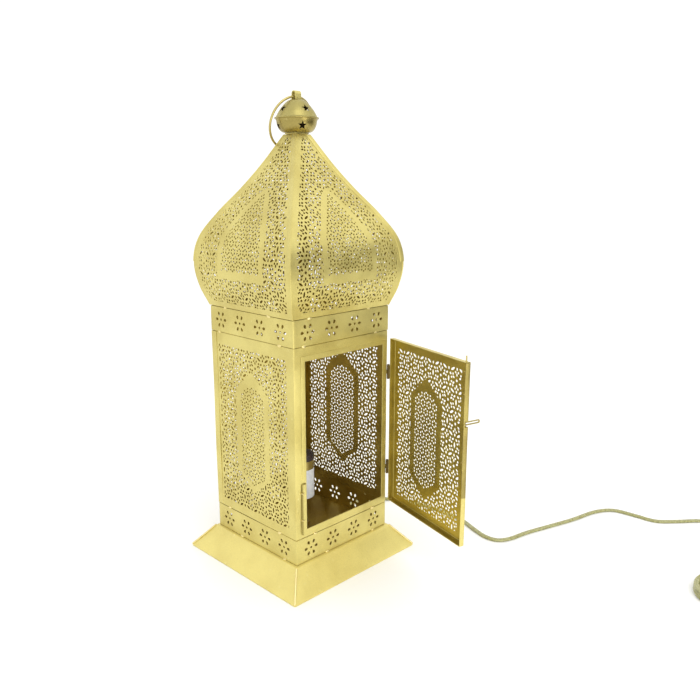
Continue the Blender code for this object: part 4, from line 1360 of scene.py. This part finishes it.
def cord_notch():
    """The box that opens the skirt's right side for the cord."""
    notch = bmesh.new()
    bmesh.ops.create_cube(notch, size=1.0)
    for vert in notch.verts:
        vert.co.x = FOOT_HALF + vert.co.x * 2 * NOTCH_REACH
        vert.co.y = CORD_EXIT[1] + vert.co.y * 2 * NOTCH_HALF
        vert.co.z = NOTCH_TOP if vert.co.z > 0 else NOTCH_LOW
    return joined("cord_notch", [notch])


def make_foot():
    rings = foot_rings()
    points = [p for ring in rings for p in ring]
    mesh = mesh_of("foot_sheet", points, skin(len(rings), len(rings[0]), True, True), FOOT_SHARP_DEG)
    # The skirt takes the foot's lighter gold as painted light.
    add_sheet("foot_sheet", carved(mesh, [cord_notch()]), ("foot_skirt",), (GOLD_FOOT_LIT,))
    seams = []
    low = Vector((-FOOT_HALF + FOOT_EDGE, -FOOT_HALF + FOOT_EDGE, FOOT_LIP))
    high = Vector((-FOOT_TOP_HALF, -FOOT_TOP_HALF, FOOT_TOP - FOOT_ROUND))
    for quarter in range(4):
        turn = Matrix.Rotation(quarter * math.pi / 2, 4, "Z")
        draw = random.Random(SEEDS["solder"] + quarter)
        line = []
        for i in range(CORNER_STEPS + 1):
            wobble = Vector((draw.uniform(-1, 1), draw.uniform(-1, 1), 0.0)) * CORNER_WOBBLE
            line.append(turn @ (low.lerp(high, i / CORNER_STEPS) + wobble))
        bead = bmesh.new()
        bead.from_mesh(wire_mesh("bead", line, CORNER_SOLDER_R, CORNER_SIDES))
        seams.append(bead)
    add_sheet("foot_corner_solder", joined("foot_corner_solder", seams), metals=(SOLDER,))


# ---------------------------------------------------------------- finial


RIM_Z = 0.4912
RIM_R, RIM_INNER_R = 0.0236, 0.0224
# Heights over the rim's middle: the cap's flange at its root and its edge, then the bowl's.
CAP_RIM, BOWL_RIM = (0.0013, 0.0010), (-0.0004, -0.0001)
BALL_SHEET = 0.0007
BALL_HOLE_R = 0.0017
# The bowl's side is a quarter of an oval round this radius.
BOWL_MIDDLE_R, BOWL_WIDE, BOWL_DEEP = 0.0128, 0.0088, 0.0132
BOWL_SIDE_DEG, BOWL_POINTS = (8, 80), 19
BALL_STEPS, CAP_SPANS = 96, 5
BOWL_TOP = RIM_Z - 0.0010
BOWL_FOOT_R = 0.0110
CAP_TOP = 0.5103
CAP_OUTLINE = (
    (0.0056, CAP_TOP),
    (0.0088, 0.5094),
    (0.0126, 0.5063),
    (0.0160, 0.5024),
    (0.0188, 0.4986),
    (0.0208, 0.4950),
    (0.0219, 0.4930),
)
STAR_POINTS, STAR_OUT, STAR_IN, STAR_DEEP = 5, 0.0050, 0.0022, 0.0120
# Height, radius, tilt, how many, and the first one's turn about the axis.
CAP_STARS = (0.5006, 0.0170, 40.0, 4, -97.0)
BOWL_STARS = (0.4832, 0.0205, -12.0, 4, -114.0)


def shell_profile(outer, thick):
    """A closed profile: the outer side downwards, then the inner side back up."""
    inner = []
    for i, (radius, height) in enumerate(outer):
        before, after = outer[max(0, i - 1)], outer[min(len(outer) - 1, i + 1)]
        dr, dz = after[0] - before[0], after[1] - before[1]
        size = math.hypot(dr, dz)
        inner.append((radius + dz / size * thick, height - dr / size * thick))
    return [*outer, *reversed(inner)]


def star_cutters(height, radius, lift_deg, count, first_deg):
    """Star prisms round the axis, each along the shell's own direction there."""
    made = []
    for i in range(count):
        bm = bmesh.new()
        corners = []
        for j in range(2 * STAR_POINTS):
            turn = math.pi * j / STAR_POINTS + math.pi / 2
            reach = STAR_IN if j % 2 else STAR_OUT
            corner = (reach * math.cos(turn), reach * math.sin(turn), -STAR_DEEP / 2)
            corners.append(bm.verts.new(corner))
        face = bm.faces.new(corners)
        grown = bmesh.ops.extrude_face_region(bm, geom=[face])
        top = [item for item in grown["geom"] if isinstance(item, bmesh.types.BMVert)]
        bmesh.ops.translate(bm, vec=(0, 0, STAR_DEEP), verts=top)
        bmesh.ops.recalc_face_normals(bm, faces=bm.faces)
        azimuth = math.radians(first_deg + 360 * i / count)
        lift = math.radians(lift_deg)
        level = Vector((math.cos(azimuth), math.sin(azimuth), 0.0))
        out = level * math.cos(lift) + Vector((0.0, 0.0, math.sin(lift)))
        side = Vector((-level.y, level.x, 0.0))
        at = level * radius + Vector((0.0, 0.0, height))
        axes = Matrix((side, out.cross(side), out)).transposed().to_4x4()
        bmesh.ops.transform(bm, matrix=Matrix.Translation(at) @ axes, verts=bm.verts)
        made.append(joined("star", [bm]))
    return made


def make_finial():
    """Two pressed shells that meet in a thin rim, each with stars cut out."""
    cap = [(BALL_HOLE_R, CAP_TOP)]
    cap += [(p.x, p.y) for p in smooth_line([(r, z, 0.0) for r, z in CAP_OUTLINE], CAP_SPANS)]
    cap += [(RIM_INNER_R, RIM_Z + CAP_RIM[0]), (RIM_R, RIM_Z + CAP_RIM[1])]
    bowl = [(RIM_R, RIM_Z + BOWL_RIM[1]), (RIM_INNER_R, RIM_Z + BOWL_RIM[0])]
    for turn in np.radians(np.linspace(*BOWL_SIDE_DEG, BOWL_POINTS)):
        radius = BOWL_MIDDLE_R + BOWL_WIDE * math.cos(turn)
        bowl.append((radius, BOWL_TOP - BOWL_DEEP * math.sin(turn)))
    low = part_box("finial_bowl")[0].z
    bowl += [(BOWL_FOOT_R, low), (BALL_HOLE_R, low)]
    # Both shells take darker copies of the spray as painted shade, the bowl darkest.
    shells = (("cap", cap, CAP_STARS, GOLD_CAP_SHADED), ("bowl", bowl, BOWL_STARS, GOLD_BOWL_SHADED))
    for name, profile, stars, gold in shells:
        piece = f"finial_{name}_shell"
        mesh = turned_mesh(piece, shell_profile(profile, BALL_SHEET), BALL_STEPS)
        mesh = carved(mesh, star_cutters(*stars))
        for face in mesh.polygons:
            inward = face.normal.dot(Vector((0, 0, RIM_Z)) - face.center) > 0
            face.material_index = int(inward)
        mesh.name = piece
        add_sheet(piece, mesh, (f"finial_{name}",), (gold, AGED))


# ---------------------------------------------------------------- ring, lampholder and plug


RING_AXIS_Z = 0.5135
RING_R = 0.0276
RING_WIRE_R = 0.00125
RING_LEAN_DEG = 20.5
RING_START_DEG, RING_SWEEP_DEG, RING_STEPS = 93.0, 354.0, 160


def make_ring():
    """The carry ring: wire bent to a round whose ends meet with a small gap under the strap."""
    lean = Matrix.Translation((0, 0, RING_AXIS_Z)) @ Matrix.Rotation(math.radians(RING_LEAN_DEG), 4, "X")
    line = []
    for i in range(RING_STEPS + 1):
        turn = math.radians(RING_START_DEG + RING_SWEEP_DEG * i / RING_STEPS)
        line.append(lean @ Vector((RING_R * math.cos(turn), 0.0, RING_R * (math.sin(turn) - 1))))
    mesh = wire_mesh("carry_ring_wire", line, RING_WIRE_R)
    link_piece("carry_ring_wire", mesh, (GOLD_WIRE,), "ring", "gold_wire", "carry_ring")


HOLDER_R, HOLDER_LOW_R, HOLDER_FOOT_R = 0.0143, 0.0136, 0.0124
HOLDER_BEVEL = 0.0012
SOCKET_R, SOCKET_FLOOR, SOCKET_BEVEL = 0.0070, 0.0880, 0.0006
SOCKET_TURNS, SOCKET_CLEAR, THREAD_DEEP = 12, 0.0010, 0.0005
# The collar's grooves: how many, how deep and tall one is, and the first one's place below the top.
COLLAR_GROOVES, GROOVE, GROOVES_FROM = 3, 0.0004, 0.0014
COLLAR_LIFT = 0.0003
WRAP_BORE_R, WRAP_ROUND = 0.0139, 0.0003
# The shade ring's thread: its turns, its pitch and its first turn's place below the top.
RING_TURNS, RING_PITCH, RING_FROM = 6, 0.0015, 0.0008
HOLDER_STEPS = 72


def lampholder_profile():
    """The moulded body: its socket's thread, its grooved collar and the part inside the sleeve."""
    low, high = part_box("lampholder_body")[0].z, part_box("lampholder_body")[1].z
    collar_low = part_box("lampholder_ring")[1].z + COLLAR_LIFT
    profile = [(SOCKET_R, high - SOCKET_BEVEL), (SOCKET_R + SOCKET_BEVEL, high)]
    profile += [(HOLDER_R - HOLDER_BEVEL, high), (HOLDER_R - WRAP_ROUND, high - GROOVE)]
    profile.append((HOLDER_R, high - HOLDER_BEVEL))
    for i in range(COLLAR_GROOVES):
        top = high - GROOVES_FROM - 4 * GROOVE * i
        depths = ((0, 0), (1, 1), (1, 2), (0, 3))
        profile += [(HOLDER_R - GROOVE * deep, top - GROOVE * down) for deep, down in depths]
    profile += [(HOLDER_R, collar_low), (HOLDER_LOW_R, collar_low), (HOLDER_LOW_R, low + HOLDER_BEVEL)]
    profile += [(HOLDER_FOOT_R, low), (0.0, low), (0.0, SOCKET_FLOOR), (SOCKET_R - GROOVE, SOCKET_FLOOR)]
    for i in range(SOCKET_TURNS):
        z = SOCKET_FLOOR + (high - SOCKET_CLEAR - SOCKET_FLOOR) * i / SOCKET_TURNS
        profile += [(SOCKET_R, z + GROOVE), (SOCKET_R - THREAD_DEEP, z + 4 * GROOVE)]
    return profile


def wrap_profile(node, turns):
    """A sleeve round the lampholder, with that many turns of thread on its outside."""
    low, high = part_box(node)[0].z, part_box(node)[1].z
    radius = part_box(node)[1].x
    profile = [(radius - WRAP_ROUND, high), (radius, high - WRAP_ROUND)]
    for i in range(turns):
        z = high - RING_FROM - RING_PITCH * i
        profile += [(radius, z), (radius - GROOVE, z - RING_PITCH / 3), (radius, z - RING_PITCH * 2 / 3)]
    profile += [(radius, low + WRAP_ROUND), (radius - WRAP_ROUND, low)]
    return [*profile, (WRAP_BORE_R, low), (WRAP_BORE_R, high)]


def make_lampholder():
    """The moulded body, its paper sleeve and its brass ring."""
    body, sleeve, ring = "lampholder_body", "lampholder_sleeve", "lampholder_ring"
    for name, node, profile, material, slot in (
        ("lampholder_moulding", body, lampholder_profile(), DARK_PLASTIC, "dark_plastic"),
        ("lampholder_paper", sleeve, wrap_profile(sleeve, 0), SLEEVE, "white_sleeve"),
        # The ring's brass is darkened as painted shade.
        ("lampholder_shade_ring", ring, wrap_profile(ring, RING_TURNS), BRASS_SHADED, "brass"),
    ):
        link_piece(name, turned_mesh(name, profile, HOLDER_STEPS), (material,), "lantern", slot, node)


PLUG_PLACE = (0.3187, -0.3912, 0.0069)
PLUG_TURN_DEG = -15.0
PLUG_BODY = (0.0360, 0.0250, 0.0136)
# Shares of its length: the rounded cord end, the rounded pin end, and the ribbed part.
PLUG_NOSE, PLUG_TAIL, PLUG_RIBBED = 0.05, 0.04, 0.42
PLUG_RIBS, RIB_GAP, RIB_SHARE = 24, 0.6, 0.94
# At the cord end: the shares of its width and its thickness, and how fast they grow from there.
PLUG_NECK = (0.42, 0.62)
PLUG_GROWS = (0.75, 0.6)
PLUG_ENDS = (0.82, 0.78)
PLUG_SQUARE = 0.6
PLUG_STEPS, PLUG_SIDES, PLUG_SHARP_DEG = 48, 48, 40.0


def plug_halves(t):
    """The plug's half width and half thickness at a share of its length from its cord end."""
    end = 1.0
    if t < PLUG_NOSE:
        end = math.sqrt(max(0.0, 1 - ((PLUG_NOSE - t) / PLUG_NOSE) ** 2))
    if t > 1 - PLUG_TAIL:
        end = math.sqrt(max(0.0, 1 - ((t - 1 + PLUG_TAIL) / PLUG_TAIL) ** 2))
    rib = RIB_SHARE if t < PLUG_RIBBED and t * PLUG_RIBS % 1 > RIB_GAP else 1.0
    halves = []
    for size, neck, grows, least in zip(PLUG_BODY[1:], PLUG_NECK, PLUG_GROWS, PLUG_ENDS):
        share = neck + (1 - neck) * ease((t - PLUG_NOSE) / grows)
        halves.append(size / 2 * share * (least + (1 - least) * end) * rib)
    return halves


def make_plug():
    """A flat moulded plug: narrow and ribbed where the cord enters, broad at its pins."""
    place = Matrix.Translation(PLUG_PLACE) @ Matrix.Rotation(math.radians(PLUG_TURN_DEG), 4, "Z")
    points = []
    for i in range(PLUG_STEPS + 1):
        wide, thick = plug_halves(i / PLUG_STEPS)
        x = PLUG_BODY[0] * (i / PLUG_STEPS - 0.5)
        for j in range(PLUG_SIDES):
            turn = 2 * math.pi * j / PLUG_SIDES
            c, s = math.cos(turn), math.sin(turn)
            y = wide * math.copysign(abs(c) ** PLUG_SQUARE, c)
            z = thick * math.copysign(abs(s) ** PLUG_SQUARE, s)
            points.append(place @ Vector((x, y, z)))
    faces = skin(PLUG_STEPS + 1, PLUG_SIDES, flipped=True)
    mesh = outward(mesh_of("plug_moulding", points, faces, PLUG_SHARP_DEG))
    link_piece("plug_moulding", mesh, (PLUG_PLASTIC,), "lantern", "plug_plastic", "plug_body")


def dress(material, *nodes):
    """Gives CAD nodes that stay a finished material."""
    for node in nodes:
        data = bpy.data.objects[node].data
        for i in range(len(data.materials)):
            data.materials[i] = material


def dress_nodes():
    dress(GOLD, "neck_plate", "hanging_strap")
    # The floor plate takes the inside gold, darker as painted shade.
    dress(GOLD_INSIDE_SHADED, "floor_plate")
    dress(GOLD_WIRE, "latch_wire")
    # The catch wire takes the bowl's darker gold as painted shade.
    dress(GOLD_BOWL_SHADED, "catch_wire")
    dress(SOLDER, *(f"latch_staple_{i}" for i in (1, 2, 3)))
    dress(STEEL, "base_cover", "finial_bolt", "finial_nut")
    dress(BRASS_SHADED, "lampholder_stem", "lampholder_contact", "plug_pin_1", "plug_pin_2")
    for level in ("upper", "lower"):
        dress(AGED, f"hinge_frame_leaf_{level}", f"hinge_door_leaf_{level}", f"hinge_pin_{level}")
        dress(SOLDER, f"catch_staple_{level}")
        dress(BRASS_SHADED, f"stem_nut_{level}")
    dress(CORD, "cord_bushing", "inner_lead")


# ---------------------------------------------------------------- cord


CORE_ARC_DEG, CORE_STEPS = 290, 8


def twin_section():
    """The flat twin cord's cross-section: two round cores side by side, with a groove between them."""
    radius, apart = CORD_THICK / 2, CORD_WIDE / 2 - CORD_THICK / 2
    points = []
    for side, centre in ((0, apart), (180, -apart)):
        for i in range(CORE_STEPS + 1):
            turn = math.radians(side + CORE_ARC_DEG * (i / CORE_STEPS - 0.5))
            points.append((centre + radius * math.cos(turn), radius * math.sin(turn)))
    return points


def make_cord():
    line = cord_line()
    mesh = tube_mesh("cord", line, twin_section())
    nodes = ("cord_run", "cord_tail", "cord_coil")
    cord = link_piece("cord", mesh, (CORD,), "lantern", "clear_gold_cord", *nodes)


# ---------------------------------------------------------------- studio


FLOOR_R, FLOOR_Z, FLOOR_CORNERS = 14.0, -0.0002, 96
SKY_STRENGTH = 1.10
CARD_AT, CARD_SIZE, CARD_TURN_DEG = (0.70, -0.80, 0.36), (1.1, 0.68), 41.0
# Each light's place, what it is aimed at, its size across and its power in watts.
LIGHTS = {
    "key": ((-0.5, -1.5, 2.2), (0, 0, 0.1), 2.2, 20),
    "low_front": ((0.10, -0.80, 0.07), (0, 0, 0.02), 0.25, 0.9),
}


def matt(name, colour, roughness, scale, tints):
    """A plain surface with a faint change of tint."""
    made, shader = new_material(name, colour, roughness, 0.0)
    tint = add_tint(made, add_noise(made, scale), *tints)
    made.node_tree.links.new(tint, shader.inputs["Base Color"])
    return made


def add_floor():
    bpy.ops.mesh.primitive_circle_add(
        vertices=FLOOR_CORNERS, radius=FLOOR_R, fill_type="NGON", location=(0, 0, FLOOR_Z)
    )
    floor = bpy.context.object
    floor.name = "floor"
    tints = ((0.955, 0.955, 0.95), (0.97, 0.97, 0.965))
    floor.data.materials.append(matt("pale_floor", (0.96, 0.96, 0.955), 0.6, 3.0, tints))


def add_flag():
    """A dark card beside the lantern. Only reflections show it, so the floor keeps its light."""
    bpy.ops.mesh.primitive_plane_add(size=1.0, location=CARD_AT)
    card = bpy.context.object
    card.name = "flag"
    card.scale = (*CARD_SIZE, 1.0)
    card.rotation_euler = (math.radians(90), 0.0, math.radians(CARD_TURN_DEG))
    tints = ((0.02, 0.02, 0.02), (0.04, 0.04, 0.04))
    card.data.materials.append(matt("flag", (0.03, 0.03, 0.03), 0.9, 5.0, tints))
    card.visible_camera = False
    card.visible_diffuse = False
    card.visible_shadow = False


def add_light(name, place, target, size, power):
    data = bpy.data.lights.new(name, "AREA")
    data.shape = "DISK"
    data.size = size
    data.energy = power
    made = bpy.data.objects.new(name, data)
    bpy.context.scene.collection.objects.link(made)
    made.location = place
    made.rotation_euler = (Vector(target) - Vector(place)).to_track_quat("-Z", "Y").to_euler()


def add_studio():
    add_floor()
    world = bpy.data.worlds.new("studio")
    world.use_nodes = True
    background = world.node_tree.nodes["Background"]
    background.inputs["Color"].default_value = (1.0, 1.0, 1.0, 1.0)
    background.inputs["Strength"].default_value = SKY_STRENGTH
    bpy.context.scene.world = world
    bpy.context.scene.view_settings.view_transform = "Standard"
    add_flag()
    for name, measures in LIGHTS.items():
        add_light(name, *measures)


add_camera()
make_plug()
make_cord()
make_body()
for level, measures in BANDS.items():
    make_band(level, *measures)
make_dome()
make_door()
make_doorway_hem()
make_seam_backings()
make_rear_corners()
make_dome_ridges()
make_tacks()
make_foot()
make_finial()
make_ring()
make_lampholder()
dress_nodes()
add_studio()
